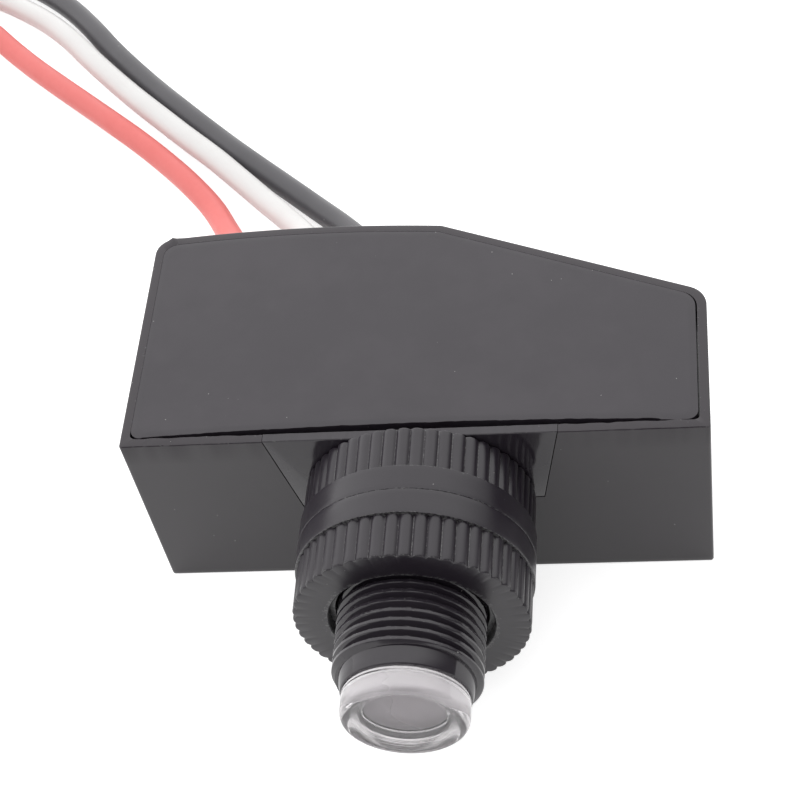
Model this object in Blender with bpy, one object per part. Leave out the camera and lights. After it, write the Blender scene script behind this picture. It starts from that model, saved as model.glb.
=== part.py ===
"""Fixed-mount photocell switch: a moulded box with a threaded nose that looks at the daylight.

The box rests on its floor with the cover plate on top and the nose pointing along -Y.
The origin is on the surface under the middle of the rigid pieces. Sizes are in millimetres
and become metres where a mesh is made.
"""

import math

import bmesh
import bpy
from mathutils import Vector

MM = 0.001

# Clearances
SEAT_GAP = 0.3
FACE_GAP = 0.2

# Box
BODY_WIDTH = 51.0
BODY_DEPTH = 24.7
BODY_HEIGHT = 19.85
SLOPE_START = 26.95
SLOPE_DROP = 9.5
BACK_BOW = 0.55
BACK_LEFT_RADIUS = 1.8
BACK_RIGHT_RADIUS = 2.2
SIDE_DRAFT = 0.25
EDGE_CHAMFER = 0.25
WALL = 1.9
FLOOR = 1.8

# Cover plate
RIM = 0.85
COVER_THICKNESS = 1.8
COVER_FRONT_HOLLOW = 0.45
COVER_CORNER_RADIUS = 0.9

# Nose
AXIS_DROP = 8.45
THREAD_DIAMETER = 12.7
THREAD_REACH = 18.97
THREAD_CHAMFER = 0.5
COLLAR_ROOT_DIAMETER = 11.54
COLLAR_TIP_DIAMETER = 10.97
COLLAR_REACH = 20.5
BORE_DIAMETER = 8.0

# Insert plate that carries the nose in the front wall
INSERT_TOP_HALF_WIDTH = 12.72
INSERT_TAPER = 0.205
INSERT_LEFT_SIDE = 10.3
INSERT_RIGHT_SIDE = 9.15
INSERT_ROUND_RADIUS = 8.3
INSERT_FLANGE = 1.2
INSERT_FLANGE_THICKNESS = 1.2

# Lens
LENS_DIAMETER = 10.8
LENS_REACH = 22.9
LENS_RIM_ROUNDING = 0.7
LENS_RIM_WIDTH = 1.93
WINDOW_DEPTH = 1.0
WINDOW_FLARE = 1.2
LENS_PLUG = 1.2

# Knurled nuts
NUT_FLANGE_DIAMETER = 20.6
KNURL_DIAMETER = 20.25
KNURL_DEPTH = 0.32
KNURL_TEETH = 50
KNURL_GROOVE_SHARE = 0.32
KNURL_LENGTH = 4.1
NUT_FLANGE_LENGTH = 2.3
NUT_CHAMFER = 0.1
THREAD_CLEARANCE = 0.3
COUNTERBORE_DIAMETER = 14.1
COUNTERBORE_DEPTH = 1.0

# Leads
LEAD_DIAMETER = 2.6
CONDUCTOR_DIAMETER = 1.2
LEAD_PITCH = 6.5
MIDDLE_LEAD_X = -12.6
LEAD_HEIGHT = 7.4
LEAD_INSIDE = 0.6
LEAD_OUTSIDE = 152.0
LEAD_LIFT = 0.05
STRIPPED_END = 10.0
SADDLE_DEPTH = 2.6
CLAMP_MARGIN = 3.6
CONDUCTOR_EDGE = 1.5

# Circuit board
BOARD_THICKNESS = 1.6
BOARD_REST_HEIGHT = 1.4
BOARD_REST_SIZE = 2.6
BOARD_REST_BITE = 1.8
BOARD_EDGE_GAP = 0.5
BOARD_FRONT_GAP = 0.4
LEG_BELOW_BOARD = 0.9
LEG_DIAMETER = 0.6
LEG_CLEARANCE = 0.35
LEG_BITE = 0.4
PIECE_GAP = 0.4
POST_DIAMETER = 2.0

# Pieces on the board, those that fill a room given by what they leave free round them
RELAY_SIDE_GAP = 0.9
RELAY_TOP_GAP = 0.45
RELAY_LEG_INSET = 1.5
CASE_CORNER = 0.6

DIODE_LENGTH = 5.2
DIODE_LEG_SPACING = 7.6
DIODE_SHIFT = 0.65
DIODE_BACK_GAP = 0.7
DIODE_COUNT = 4

ZENER_DIAMETER = 2.0
ZENER_LENGTH = 4.0
ZENER_LEG_SPACING = 2.2

RESISTOR_DIAMETER = 2.2
RESISTOR_LEG_MARGIN = 0.8
RESISTOR_END_SWELL = 0.25
RESISTOR_COUNT = 2
RESISTOR_ROOM = 3.3

FILM_TOP_GAP = 1.05
FILM_SIDE_GAP = 1.2
FILM_LEG_INSET = 1.25

CAN_TOP_GAP = 1.15
CAN_LEG_SPACING = 2.5
CAN_GROOVE_HEIGHT = 1.6
CAN_GROOVE_DEPTH = 0.3

VARISTOR_DIAMETER = 5.0
VARISTOR_THICKNESS = 3.0
VARISTOR_LEG_INSET = 0.7
VARISTOR_STAND_OFF = 0.8

TRANSISTOR_WIDTH = 4.5
TRANSISTOR_DEPTH = 3.5
TRANSISTOR_HEIGHT = 4.6
TRANSISTOR_STAND_OFF = 1.4
TRANSISTOR_LEG_SPACING = 1.5

CELL_THICKNESS = 2.2
CELL_LEG_SPACING = 2.54
CELL_LEG_DIAMETER = 0.5
CELL_LEG_EDGE = 1.3
WIRE_BEND = 0.9

# Values that follow from the sizes above
BODY_LEFT = -BODY_WIDTH / 2
BODY_RIGHT = BODY_WIDTH / 2
FRONT = (LENS_REACH - BODY_DEPTH - BACK_BOW) / 2
AXIS_HEIGHT = BODY_HEIGHT - AXIS_DROP
LEDGE_HEIGHT = BODY_HEIGHT - COVER_THICKNESS - SEAT_GAP
COVER_UNDERSIDE = BODY_HEIGHT - COVER_THICKNESS
BOARD_UNDERSIDE = FLOOR + BOARD_REST_HEIGHT + SEAT_GAP
BOARD_TOP = BOARD_UNDERSIDE + BOARD_THICKNESS
PIECES_UP = BOARD_TOP + SEAT_GAP
LEG_TIP = BOARD_UNDERSIDE - LEG_BELOW_BOARD
HOLE_DIAMETER = LEG_DIAMETER + 2 * LEG_CLEARANCE
NUT_LENGTH = KNURL_LENGTH + NUT_FLANGE_LENGTH
BACK_INNER = FRONT + BODY_DEPTH - WALL
SADDLE_FRONT = BACK_INNER - SADDLE_DEPTH
LEAD_XS = [MIDDLE_LEAD_X + step * LEAD_PITCH for step in (-1, 0, 1)]
LEAD_RADIUS = LEAD_DIAMETER / 2
LEAD_REST = LEAD_RADIUS + LEAD_LIFT
LEAD_START = SADDLE_FRONT - LEAD_INSIDE
BOARD_FRONT = FRONT + WALL + SEAT_GAP + INSERT_FLANGE_THICKNESS + BOARD_FRONT_GAP
BOARD_BACK = SADDLE_FRONT - BOARD_EDGE_GAP

WINDOW_DIAMETER = LENS_DIAMETER - 2 * LENS_RIM_WIDTH

# Room in the box, left of, behind and right of the middle row of diodes
CAVITY_LEFT = BODY_LEFT + SIDE_DRAFT + WALL
CAVITY_RIGHT = BODY_RIGHT - SIDE_DRAFT - WALL
HEADROOM = COVER_UNDERSIDE - PIECES_UP
CONDUCTOR_Y = BOARD_BACK - CONDUCTOR_EDGE
CLAMP_LEFT = max(LEAD_XS[0] - CLAMP_MARGIN, CAVITY_LEFT + SEAT_GAP)
CLAMP_RIGHT = LEAD_XS[-1] + CLAMP_MARGIN
LEFT_POST_X = CAVITY_LEFT + SEAT_GAP + POST_DIAMETER / 2
RIGHT_POST_X = CAVITY_RIGHT - BOARD_EDGE_GAP - POST_DIAMETER / 2
CELL_FRONT = FRONT - COLLAR_REACH + LENS_PLUG
CELL_LEG_Y = BOARD_FRONT + CELL_LEG_EDGE
MIDDLE_LEFT = DIODE_SHIFT - DIODE_LEG_SPACING / 2 - HOLE_DIAMETER - PIECE_GAP

# The middle row, from the front wall back
TRANSISTOR_X = CELL_LEG_SPACING / 2 + HOLE_DIAMETER / 2 + PIECE_GAP + TRANSISTOR_WIDTH / 2
TRANSISTOR_Y = BOARD_FRONT + PIECE_GAP + TRANSISTOR_DEPTH / 2
ZENER_X = -TRANSISTOR_X + TRANSISTOR_WIDTH / 2 - ZENER_DIAMETER / 2
ZENER_Y = CELL_LEG_Y
DIODE_FRONT = TRANSISTOR_Y + TRANSISTOR_DEPTH / 2
DIODE_PITCH = (BOARD_BACK - DIODE_BACK_GAP - DIODE_FRONT) / DIODE_COUNT
DIODE_DIAMETER = DIODE_PITCH - SEAT_GAP
DIODE_FIRST_Y = DIODE_FRONT + DIODE_PITCH / 2

# The relay on the left, with the resistors behind it
RELAY_LEFT = CAVITY_LEFT + RELAY_SIDE_GAP
RELAY_RIGHT = MIDDLE_LEFT
RELAY_FRONT = BOARD_FRONT + PIECE_GAP
RELAY_BACK = CONDUCTOR_Y - CONDUCTOR_DIAMETER / 2 - RESISTOR_ROOM
RELAY_HEIGHT = HEADROOM - RELAY_TOP_GAP
RESISTOR_Y = RELAY_BACK + RESISTOR_ROOM / 2
RESISTOR_ROW_LEFT = LEFT_POST_X + POST_DIAMETER
RESISTOR_STEP = (MIDDLE_LEFT + PIECE_GAP - RESISTOR_ROW_LEFT) / RESISTOR_COUNT
RESISTOR_LEG_SPACING = RESISTOR_STEP - HOLE_DIAMETER
RESISTOR_LENGTH = RESISTOR_LEG_SPACING - 2 * RESISTOR_LEG_MARGIN

# The film capacitor on the right, with the can and the varistor between it and the sloping wall
ROW_LEFT = TRANSISTOR_X + TRANSISTOR_WIDTH / 2 + PIECE_GAP
ROW_RIGHT = RIGHT_POST_X - POST_DIAMETER / 2 - BOARD_EDGE_GAP
SLOPE_RUN = BODY_WIDTH - SLOPE_START
SLOPE_LENGTH = math.hypot(SLOPE_RUN, SLOPE_DROP)
SLOPE_NORMAL_X = SLOPE_DROP / SLOPE_LENGTH
SLOPE_NORMAL_Y = SLOPE_RUN / SLOPE_LENGTH
SLOPE_WALL = WALL + SIDE_DRAFT + PIECE_GAP
VARISTOR_X = ROW_RIGHT - VARISTOR_DIAMETER / 2
VARISTOR_BACK = (FRONT + BODY_DEPTH - SLOPE_DROP + (BODY_RIGHT - ROW_RIGHT) * SLOPE_DROP / SLOPE_RUN
                 - SLOPE_WALL / SLOPE_NORMAL_Y)
VARISTOR_Y = VARISTOR_BACK - VARISTOR_THICKNESS / 2
FILM_FRONT = BOARD_FRONT + PIECE_GAP
FILM_BACK = VARISTOR_BACK - VARISTOR_THICKNESS - PIECE_GAP
FILM_LEFT = ROW_LEFT
FILM_RIGHT = CAVITY_RIGHT - FILM_SIDE_GAP
FILM_HEIGHT = HEADROOM - FILM_TOP_GAP
CAN_FRONT = FILM_BACK + PIECE_GAP
CAN_SLOPE_ROOM = ((BODY_RIGHT - ROW_LEFT) * SLOPE_NORMAL_X
                  + (FRONT + BODY_DEPTH - SLOPE_DROP - CAN_FRONT) * SLOPE_NORMAL_Y - SLOPE_WALL)
CAN_DIAMETER = min(2 * CAN_SLOPE_ROOM / (1 + SLOPE_NORMAL_X + SLOPE_NORMAL_Y),
                   VARISTOR_X - VARISTOR_DIAMETER / 2 - PIECE_GAP - ROW_LEFT)
CAN_X = ROW_LEFT + CAN_DIAMETER / 2
CAN_Y = CAN_FRONT + CAN_DIAMETER / 2
CAN_HEIGHT = HEADROOM - CAN_TOP_GAP

# Free run of each lead from the back wall over the surface, as x, y, z
RED_ROUTE = [
    (-19.1, 24.5, 7.4), (-19.2, 28.3, 6.9), (-20.3, 32.4, 5.4), (-22.3, 36.3, 3.8),
    (-24.2, 40.0, 2.5), (-25.7, 43.2, 1.7), (-27.6, 46.2, LEAD_REST), (-29.9, 49.1, LEAD_REST),
    (-32.6, 52.1, LEAD_REST), (-35.4, 55.0, LEAD_REST), (-38.8, 58.2, LEAD_REST),
    (-42.3, 61.4, LEAD_REST), (-46.4, 65.1, LEAD_REST), (-51.0, 69.3, LEAD_REST),
    (-55.9, 74.2, LEAD_REST),
]
WHITE_ROUTE = [
    (-12.6, 24.5, 7.4), (-12.6, 28.4, 7.0), (-13.0, 32.4, 5.7), (-14.5, 36.4, 4.2),
    (-17.0, 40.4, 3.0), (-20.2, 44.2, 2.4), (-23.6, 48.0, 2.2), (-27.1, 51.8, 2.15),
    (-30.5, 55.1, 2.15), (-33.6, 58.2, 2.15), (-37.0, 61.6, 2.15), (-40.5, 65.3, 2.15),
    (-44.9, 70.3, 2.1), (-49.5, 75.7, 1.9), (-53.4, 79.2, 1.6), (-58.5, 82.9, LEAD_REST),
]
BLACK_ROUTE = [
    (-6.1, 24.5, 7.4), (-6.3, 28.5, 6.9), (-7.6, 33.2, 5.0), (-9.9, 37.9, 3.0),
    (-12.8, 41.7, 1.9), (-16.0, 45.0, 1.45), (-20.2, 49.0, LEAD_REST), (-24.0, 52.5, LEAD_REST),
    (-27.2, 55.6, LEAD_REST), (-30.4, 58.8, LEAD_REST), (-33.6, 62.1, LEAD_REST),
    (-37.1, 65.8, LEAD_REST), (-40.6, 69.8, LEAD_REST), (-44.0, 74.0, LEAD_REST),
    (-47.2, 78.2, LEAD_REST),
]

# Loose curl that each lead ends in, side by side round one centre, counted from the inner lead
CURL_CENTRE = (-72.5, 68.0)
CURL_RADIUS = 16.3
CURL_SPACING = 3.3
CURL_STARTS = (50.0, 78.0, 78.0)
CURL_STEP = 22.0
CURL_END = 400.0
CURVE_STEPS = 16
CORD_POINT_STEP = 6.4


def material(name, colour, roughness, metallic=0.0):
    """A Principled material of one colour."""
    made = bpy.data.materials.new(name)
    made.use_nodes = True
    shader = made.node_tree.nodes["Principled BSDF"]
    shader.inputs["Base Color"].default_value = (*colour, 1.0)
    shader.inputs["Roughness"].default_value = roughness
    shader.inputs["Metallic"].default_value = metallic
    made.diffuse_color = (*colour, 1.0)
    return made


def place(name, mesh, finish=None):
    """Put a mesh in the scene as an object, shaded smooth between its sharp edges."""
    piece = bpy.data.objects.new(name, mesh)
    bpy.context.scene.collection.objects.link(piece)
    if finish is not None:
        mesh.materials.append(finish)
    mesh.shade_smooth()
    mesh.set_sharp_from_angle(angle=math.radians(35))
    return piece


def mesh_of_rings(name, stacks):
    """A mesh of closed bodies, each a stack of rings of points with the ends filled."""
    bm = bmesh.new()
    for rings in stacks:
        rows = [[bm.verts.new(Vector(p) * MM) for p in ring] for ring in rings]
        count = len(rows[0])
        for low, high in zip(rows, rows[1:]):
            for k in range(count):
                after = (k + 1) % count
                bm.faces.new((low[k], low[after], high[after], high[k]))
        bm.faces.new(list(reversed(rows[0])))
        bm.faces.new(rows[-1])
    bmesh.ops.recalc_face_normals(bm, faces=bm.faces)
    mesh = bpy.data.meshes.new(name)
    bm.to_mesh(mesh)
    bm.free()
    return mesh


def ring_at(outline, height):
    """A plan outline lifted to a height."""
    return [(x, y, height) for x, y in outline]


def upright(outline, low, high):
    """A stack that extrudes a plan outline from one height to another."""
    return [ring_at(outline, low), ring_at(outline, high)]


def along_y(outline, near, far):
    """A stack that extrudes an outline in X and Z along Y."""
    return [[(x, y, z) for x, z in outline] for y in (near, far)]


def rectangle(x0, x1, y0, y1):
    """The four corners of a rectangle."""
    return [(x0, y0), (x1, y0), (x1, y1), (x0, y1)]


def circle(x, y, radius, sides):
    """Points round a circle."""
    steps = [2 * math.pi * k / sides for k in range(sides)]
    return [(x + radius * math.cos(a), y + radius * math.sin(a)) for a in steps]


def soft_rectangle(x0, x1, y0, y1, radius, steps=3):
    """A rectangle with round corners."""
    points = []
    centres = [(x1 - radius, y0 + radius, -90), (x1 - radius, y1 - radius, 0),
               (x0 + radius, y1 - radius, 90), (x0 + radius, y0 + radius, 180)]
    for cx, cy, start in centres:
        for k in range(steps + 1):
            a = math.radians(start + 90 * k / steps)
            points.append((cx + radius * math.cos(a), cy + radius * math.sin(a)))
    return points


def turned(profile, sides):
    """A stack turned about the nose axis from (reach, radius) pairs, along -Y from the front face."""
    rings = []
    for reach, radius in profile:
        rings.append([(x, FRONT - reach, z) for x, z in circle(0.0, AXIS_HEIGHT, radius, sides)])
    return rings


def standing(profile, x, y, sides):
    """A stack turned about a vertical line from (height, radius) pairs."""
    return [ring_at(circle(x, y, radius, sides), height) for height, radius in profile]


def lying(profile, x, y, z, sides):
    """A stack turned about a line along X from (x offset, radius) pairs."""
    rings = []
    for offset, radius in profile:
        rings.append([(x + offset, a, b) for a, b in circle(y, z, radius, sides)])
    return rings


def swept(points, diameter, sides=6):
    """A stack that sweeps a round wire along points, with mitred rings."""
    path = [Vector(p) for p in points]
    rings = []
    side = None
    for k, point in enumerate(path):
        before = (point - path[k - 1]).normalized() if k else None
        after = (path[k + 1] - point).normalized() if k + 1 < len(path) else None
        ahead = ((before or after) + (after or before)).normalized()
        if side is None:
            seed = Vector((1, 0, 0)) if abs(ahead.x) < 0.7 else Vector((0, 1, 0))
            side = ahead.cross(seed).normalized()
        side = (side - ahead * side.dot(ahead)).normalized()
        other = ahead.cross(side)
        radius = diameter / 2
        if before and after:
            radius /= math.cos(before.angle(after) / 2)
        ring = []
        for n in range(sides):
            a = 2 * math.pi * n / sides
            ring.append(tuple(point + radius * (side * math.cos(a) + other * math.sin(a))))
        rings.append(ring)
    return rings


def bent(points, radius, steps=3):
    """A path whose corners are rounded by arcs."""
    path = [Vector(p) for p in points]
    out = [path[0]]
    for before, corner, after in zip(path, path[1:], path[2:]):
        into = (corner - before).normalized()
        away = (after - corner).normalized()
        turn = into.angle(away)
        reach = radius * math.tan(turn / 2)
        start = corner - into * reach
        centre = start + (away - into * into.dot(away)).normalized() * radius
        spoke = start - centre
        for k in range(steps + 1):
            a = turn * k / steps
            out.append(centre + spoke * math.cos(a) + into * radius * math.sin(a))
    out.append(path[-1])
    return [tuple(p) for p in out]


def helper(name, stacks):
    """A hidden object for a Boolean."""
    made = place(name, mesh_of_rings(name, stacks))
    made.hide_render = True
    made.display_type = "WIRE"
    return made


def boolean(piece, stacks, operation, label):
    """Cut or join stacks of rings to a piece."""
    modifier = piece.modifiers.new(label, "BOOLEAN")
    modifier.operation = operation
    modifier.solver = "EXACT"
    modifier.use_self = len(stacks) > 1
    modifier.object = helper(f"{piece.name}_{label}", stacks)


def cut(piece, stacks, label):
    """Take stacks of rings out of a piece."""
    boolean(piece, stacks, "DIFFERENCE", label)


def join(piece, stacks, label):
    """Add stacks of rings to a piece as one solid."""
    boolean(piece, stacks, "UNION", label)


def solid(name, stacks, finish):
    """An object from one stack of rings."""
    return place(name, mesh_of_rings(name, [stacks]), finish)


def crossing(first, second):
    """The point where two lines meet, each a point and a direction."""
    (px, py), (dx, dy) = first
    (qx, qy), (ex, ey) = second
    along = ((qx - px) * ey - (qy - py) * ex) / (dx * ey - dy * ex)
    return px + along * dx, py + along * dy


def body_outline(inset, front=None, back=None, hollow=0.0, front_radius=0.0):
    """The box's plan, drawn in by an inset, from the front left corner and anticlockwise."""
    front = inset if front is None else front
    back = inset if back is None else back
    inward = (-SLOPE_NORMAL_X * inset, -SLOPE_NORMAL_Y * inset)
    slope_point = (BODY_LEFT + SLOPE_START + inward[0], FRONT + BODY_DEPTH + inward[1])
    low, high = FRONT + front, FRONT + BODY_DEPTH - back
    left, right = BODY_LEFT + inset, BODY_RIGHT - inset
    sloping = (slope_point, (SLOPE_RUN, -SLOPE_DROP))
    right_top = crossing(sloping, ((right, low), (0.0, 1.0)))
    slope_top = crossing(sloping, ((left, high), (1.0, 0.0)))
    points = []
    points += rounded((left, high), (left, low), (right, low), front_radius)
    for k in range(1, 8):
        share = k / 8
        points.append((left + (right - left) * share, low + hollow * 4 * share * (1 - share)))
    points += rounded((left, low), (right, low), right_top, front_radius)
    points += rounded((right, low), right_top, slope_top, BACK_RIGHT_RADIUS - inset / 2)
    for k in range(0, 8):
        share = k / 8
        x = slope_top[0] + (left + BACK_LEFT_RADIUS - slope_top[0]) * share
        points.append((x, high + BACK_BOW * 4 * share * (1 - share)))
    points += rounded(slope_top, (left, high), (left, low), BACK_LEFT_RADIUS - inset / 2)
    return points


def rounded(before, corner, after, radius, steps=5):
    """A plan corner, rounded by an arc where it has a radius."""
    if radius <= 0.0:
        return [corner]
    path = bent([(*before, 0.0), (*corner, 0.0), (*after, 0.0)], radius, steps)
    return [(x, y) for x, y, _ in path[1:-1]]


def insert_outline(grow, top=BODY_HEIGHT):
    """The nose insert's outline in X and Z: a keyed wedge above a round end."""
    steps = 12
    half_top = INSERT_TOP_HALF_WIDTH + grow + INSERT_TAPER * (top - BODY_HEIGHT)
    radius = INSERT_ROUND_RADIUS + grow
    right_low = BODY_HEIGHT - INSERT_RIGHT_SIDE - grow
    left_low = BODY_HEIGHT - INSERT_LEFT_SIDE - grow
    right_half = half_top - INSERT_TAPER * (top - right_low)
    left_half = half_top - INSERT_TAPER * (top - left_low)
    right_angle = math.asin((right_low - AXIS_HEIGHT) / radius)
    left_angle = math.pi - math.asin((left_low - AXIS_HEIGHT) / radius) - 2 * math.pi
    points = [(-left_half, left_low), (-half_top, top), (half_top, top), (right_half, right_low)]
    for k in range(steps + 1):
        a = right_angle + (left_angle - right_angle) * k / steps
        points.append((radius * math.cos(a), AXIS_HEIGHT + radius * math.sin(a)))
    return points


def board_posts():
    """Plan centres of the cover's two hold-down posts."""
    left_y = RELAY_BACK + PIECE_GAP + POST_DIAMETER / 2
    right_y = VARISTOR_Y
    return [(LEFT_POST_X, left_y), (RIGHT_POST_X, right_y)]


def board_rests():
    """Plan rectangles of the four rests that carry the board."""
    half = BOARD_REST_SIZE / 2
    relay_middle = (RELAY_FRONT + RELAY_BACK) / 2
    side = CAVITY_LEFT + BOARD_EDGE_GAP + BOARD_REST_BITE
    left = rectangle(BODY_LEFT + WALL / 2, side, relay_middle - half, relay_middle + half)
    right = rectangle(-side, BODY_RIGHT - WALL / 2, VARISTOR_Y - half, VARISTOR_Y + half)
    gap = (LEAD_XS[1] + LEAD_XS[2]) / 2
    back = rectangle(gap - half, gap + half, BOARD_BACK - half / 2, SADDLE_FRONT + half)
    column = RELAY_RIGHT + half / 2
    front = rectangle(column - half / 2, column + half / 2, BOARD_FRONT, BOARD_FRONT + half)
    return [left, right, back, front]


def housing(finish):
    """The open-topped box with its sloping corner, ledge, lead saddle and board rests."""
    chamfer = EDGE_CHAMFER
    base_low = body_outline(SIDE_DRAFT + chamfer, front=chamfer)
    base = body_outline(SIDE_DRAFT, front=0.0)
    top = body_outline(0.0)
    top_edge = body_outline(chamfer / 2)
    rings = [ring_at(base_low, 0.0), ring_at(base, chamfer),
             ring_at(top, BODY_HEIGHT - chamfer / 2), ring_at(top_edge, BODY_HEIGHT)]
    box = solid("housing", rings, finish)
    above = BODY_HEIGHT + WALL
    cavity = [ring_at(body_outline(SIDE_DRAFT + WALL, front=WALL), FLOOR),
              ring_at(body_outline(WALL), above)]
    cut(box, [cavity], "cavity")
    cut(box, [upright(body_outline(RIM), LEDGE_HEIGHT, above)], "rebate")
    slot = insert_outline(SEAT_GAP, above)
    cut(box, [along_y(slot, FRONT - WALL, FRONT + WALL + SEAT_GAP)], "nose_slot")
    reach = BACK_INNER + WALL + 2 * BACK_BOW + SEAT_GAP
    saddle = rectangle(CLAMP_LEFT, CLAMP_RIGHT, SADDLE_FRONT, BACK_INNER + WALL / 2)
    join(box, [upright(saddle, FLOOR / 2, LEAD_HEIGHT)], "saddle")
    hole = LEAD_RADIUS + SEAT_GAP
    holes = [along_y(circle(x, LEAD_HEIGHT, hole / math.cos(math.pi / 20), 20),
                     SADDLE_FRONT - WALL, reach) for x in LEAD_XS]
    cut(box, holes, "lead_holes")
    rests = [upright(plan, FLOOR / 2, FLOOR + BOARD_REST_HEIGHT) for plan in board_rests()]
    join(box, rests, "board_rests")
    return box


def cover_plate(finish):
    """The inset plate, hollowed along its front edge, with two hold-down posts."""
    side = RIM + SEAT_GAP
    outline = body_outline(side, hollow=COVER_FRONT_HOLLOW, front_radius=COVER_CORNER_RADIUS)
    eased = body_outline(side + EDGE_CHAMFER / 2, hollow=COVER_FRONT_HOLLOW,
                         front_radius=COVER_CORNER_RADIUS)
    top = BODY_HEIGHT - EDGE_CHAMFER / 2
    rings = [ring_at(outline, COVER_UNDERSIDE), ring_at(outline, top - EDGE_CHAMFER / 2),
             ring_at(eased, top)]
    plate = solid("cover_plate", rings, finish)
    posts = [upright(circle(x, y, POST_DIAMETER / 2, 12), PIECES_UP, COVER_UNDERSIDE + WALL / 2)
             for x, y in board_posts()]
    join(plate, posts, "posts")
    return plate


def nose_barrel(finish):
    """The threaded nose on its keyed insert plate, with a stepped bore."""
    back = FRONT + WALL + SEAT_GAP
    plate = solid("nose_barrel", along_y(insert_outline(0.0), FRONT, back + SEAT_GAP), finish)
    grown = [(x, min(z, LEDGE_HEIGHT - SEAT_GAP)) for x, z in insert_outline(INSERT_FLANGE)]
    join(plate, [along_y(grown, back, back + INSERT_FLANGE_THICKNESS)], "flange")
    rebate = rectangle(BODY_LEFT, BODY_RIGHT, FRONT + RIM, back + WALL)
    cut(plate, [upright(rebate, LEDGE_HEIGHT, BODY_HEIGHT + WALL)], "rebate")
    thread, tip = THREAD_DIAMETER / 2, COLLAR_TIP_DIAMETER / 2
    root = COLLAR_ROOT_DIAMETER / 2
    profile = [(-WALL, thread), (THREAD_REACH - THREAD_CHAMFER, thread), (THREAD_REACH, root),
               (COLLAR_REACH, tip)]
    join(plate, [turned(profile, 64)], "tube")
    bore = BORE_DIAMETER / 2
    through = back - FRONT + INSERT_FLANGE_THICKNESS + WALL
    cut(plate, [turned([(-through, bore), (COLLAR_REACH + WALL, bore)], 48)], "bore")
    return plate


def lens(finish):
    """The clear cap: a thick rounded rim round a sunk flat window, and a short plug."""
    outer, window = LENS_DIAMETER / 2, WINDOW_DIAMETER / 2
    plug = BORE_DIAMETER / 2 - SEAT_GAP
    seat = COLLAR_REACH + FACE_GAP
    profile = [(seat - LENS_PLUG, plug), (seat, plug), (seat, outer)]
    steps = 4
    crown = outer - LENS_RIM_ROUNDING
    for k in range(steps + 1):
        a = math.pi / 2 * k / steps
        profile.append((LENS_REACH - LENS_RIM_ROUNDING * (1 - math.sin(a)),
                        crown + LENS_RIM_ROUNDING * math.cos(a)))
    profile.append((LENS_REACH, window + WINDOW_FLARE / 2))
    profile.append((LENS_REACH - WINDOW_DEPTH, window))
    return solid("lens", turned(profile, 48), finish)


def knurl_ring(reach, trim):
    """Points round the knurled band: flat ridges between narrow grooves."""
    top = KNURL_DIAMETER / 2 - trim
    half = KNURL_GROOVE_SHARE / 2
    tooth = [(0.0, KNURL_DIAMETER / 2 - KNURL_DEPTH), (half, top), (0.5, top), (1.0 - half, top)]
    ring = []
    for k in range(KNURL_TEETH):
        for share, radius in tooth:
            a = 2 * math.pi * (k + share) / KNURL_TEETH
            ring.append((radius * math.cos(a), FRONT - reach, AXIS_HEIGHT + radius * math.sin(a)))
    return ring


def knurled_nut(name, start, forward, finish):
    """A finger nut: a knurled band and a smooth flange; forward is 1 with the flange in front."""
    end = start + NUT_LENGTH
    outside = start if forward > 0 else end
    joint = outside + forward * KNURL_LENGTH
    flange_end = outside + forward * NUT_LENGTH
    band = [knurl_ring(outside, NUT_CHAMFER), knurl_ring(outside + forward * NUT_CHAMFER, 0.0),
            knurl_ring(joint + forward * NUT_CHAMFER, 0.0)]
    nut = solid(name, band, finish)
    radius = NUT_FLANGE_DIAMETER / 2
    ease = EDGE_CHAMFER / 2
    flange = [(joint, radius - ease), (joint + forward * ease, radius),
              (flange_end - forward * ease, radius), (flange_end, radius - ease)]
    join(nut, [turned(flange, 96)], "flange")
    bore = THREAD_DIAMETER / 2 + THREAD_CLEARANCE
    cut(nut, [turned([(start - WALL, bore), (end + WALL, bore)], 48)], "bore")
    mouth = COUNTERBORE_DIAMETER / 2
    sunk = outside + forward * COUNTERBORE_DEPTH
    cut(nut, [turned([(outside - forward * WALL, mouth), (sunk, mouth)], 48)], "counterbore")
    return nut


def lead_clamp(finish):
    """The bar that holds the three leads down on the saddle in the box."""
    front, back = SADDLE_FRONT, BACK_INNER - SEAT_GAP
    plan = rectangle(CLAMP_LEFT, CLAMP_RIGHT, front, back)
    bar = solid("lead_clamp", upright(plan, LEAD_HEIGHT + SEAT_GAP, COVER_UNDERSIDE - SEAT_GAP), finish)
    hole = (LEAD_RADIUS + SEAT_GAP) / math.cos(math.pi / 20)
    notches = [along_y(circle(x, LEAD_HEIGHT, hole, 20), front - WALL, back + WALL) for x in LEAD_XS]
    cut(bar, notches, "notches")
    return bar


def leg_holes():
    """Plan places and diameters of the holes in the board."""
    holes = [(x, y, HOLE_DIAMETER) for x, y in relay_legs() + can_legs() + film_legs()]
    holes += [(x, y, HOLE_DIAMETER) for x, y in varistor_legs() + transistor_legs() + zener_legs()]
    for k in range(DIODE_COUNT):
        holes += [(x, y, HOLE_DIAMETER) for x, y in diode_legs(k)]
    for k in range(RESISTOR_COUNT):
        holes += [(x, y, HOLE_DIAMETER) for x, y in resistor_legs(k)]
    holes += [(x, y, HOLE_DIAMETER) for x, y in cell_legs()]
    holes += [(x, CONDUCTOR_Y, CONDUCTOR_DIAMETER + 2 * LEG_CLEARANCE) for x in LEAD_XS]
    return holes


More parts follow.
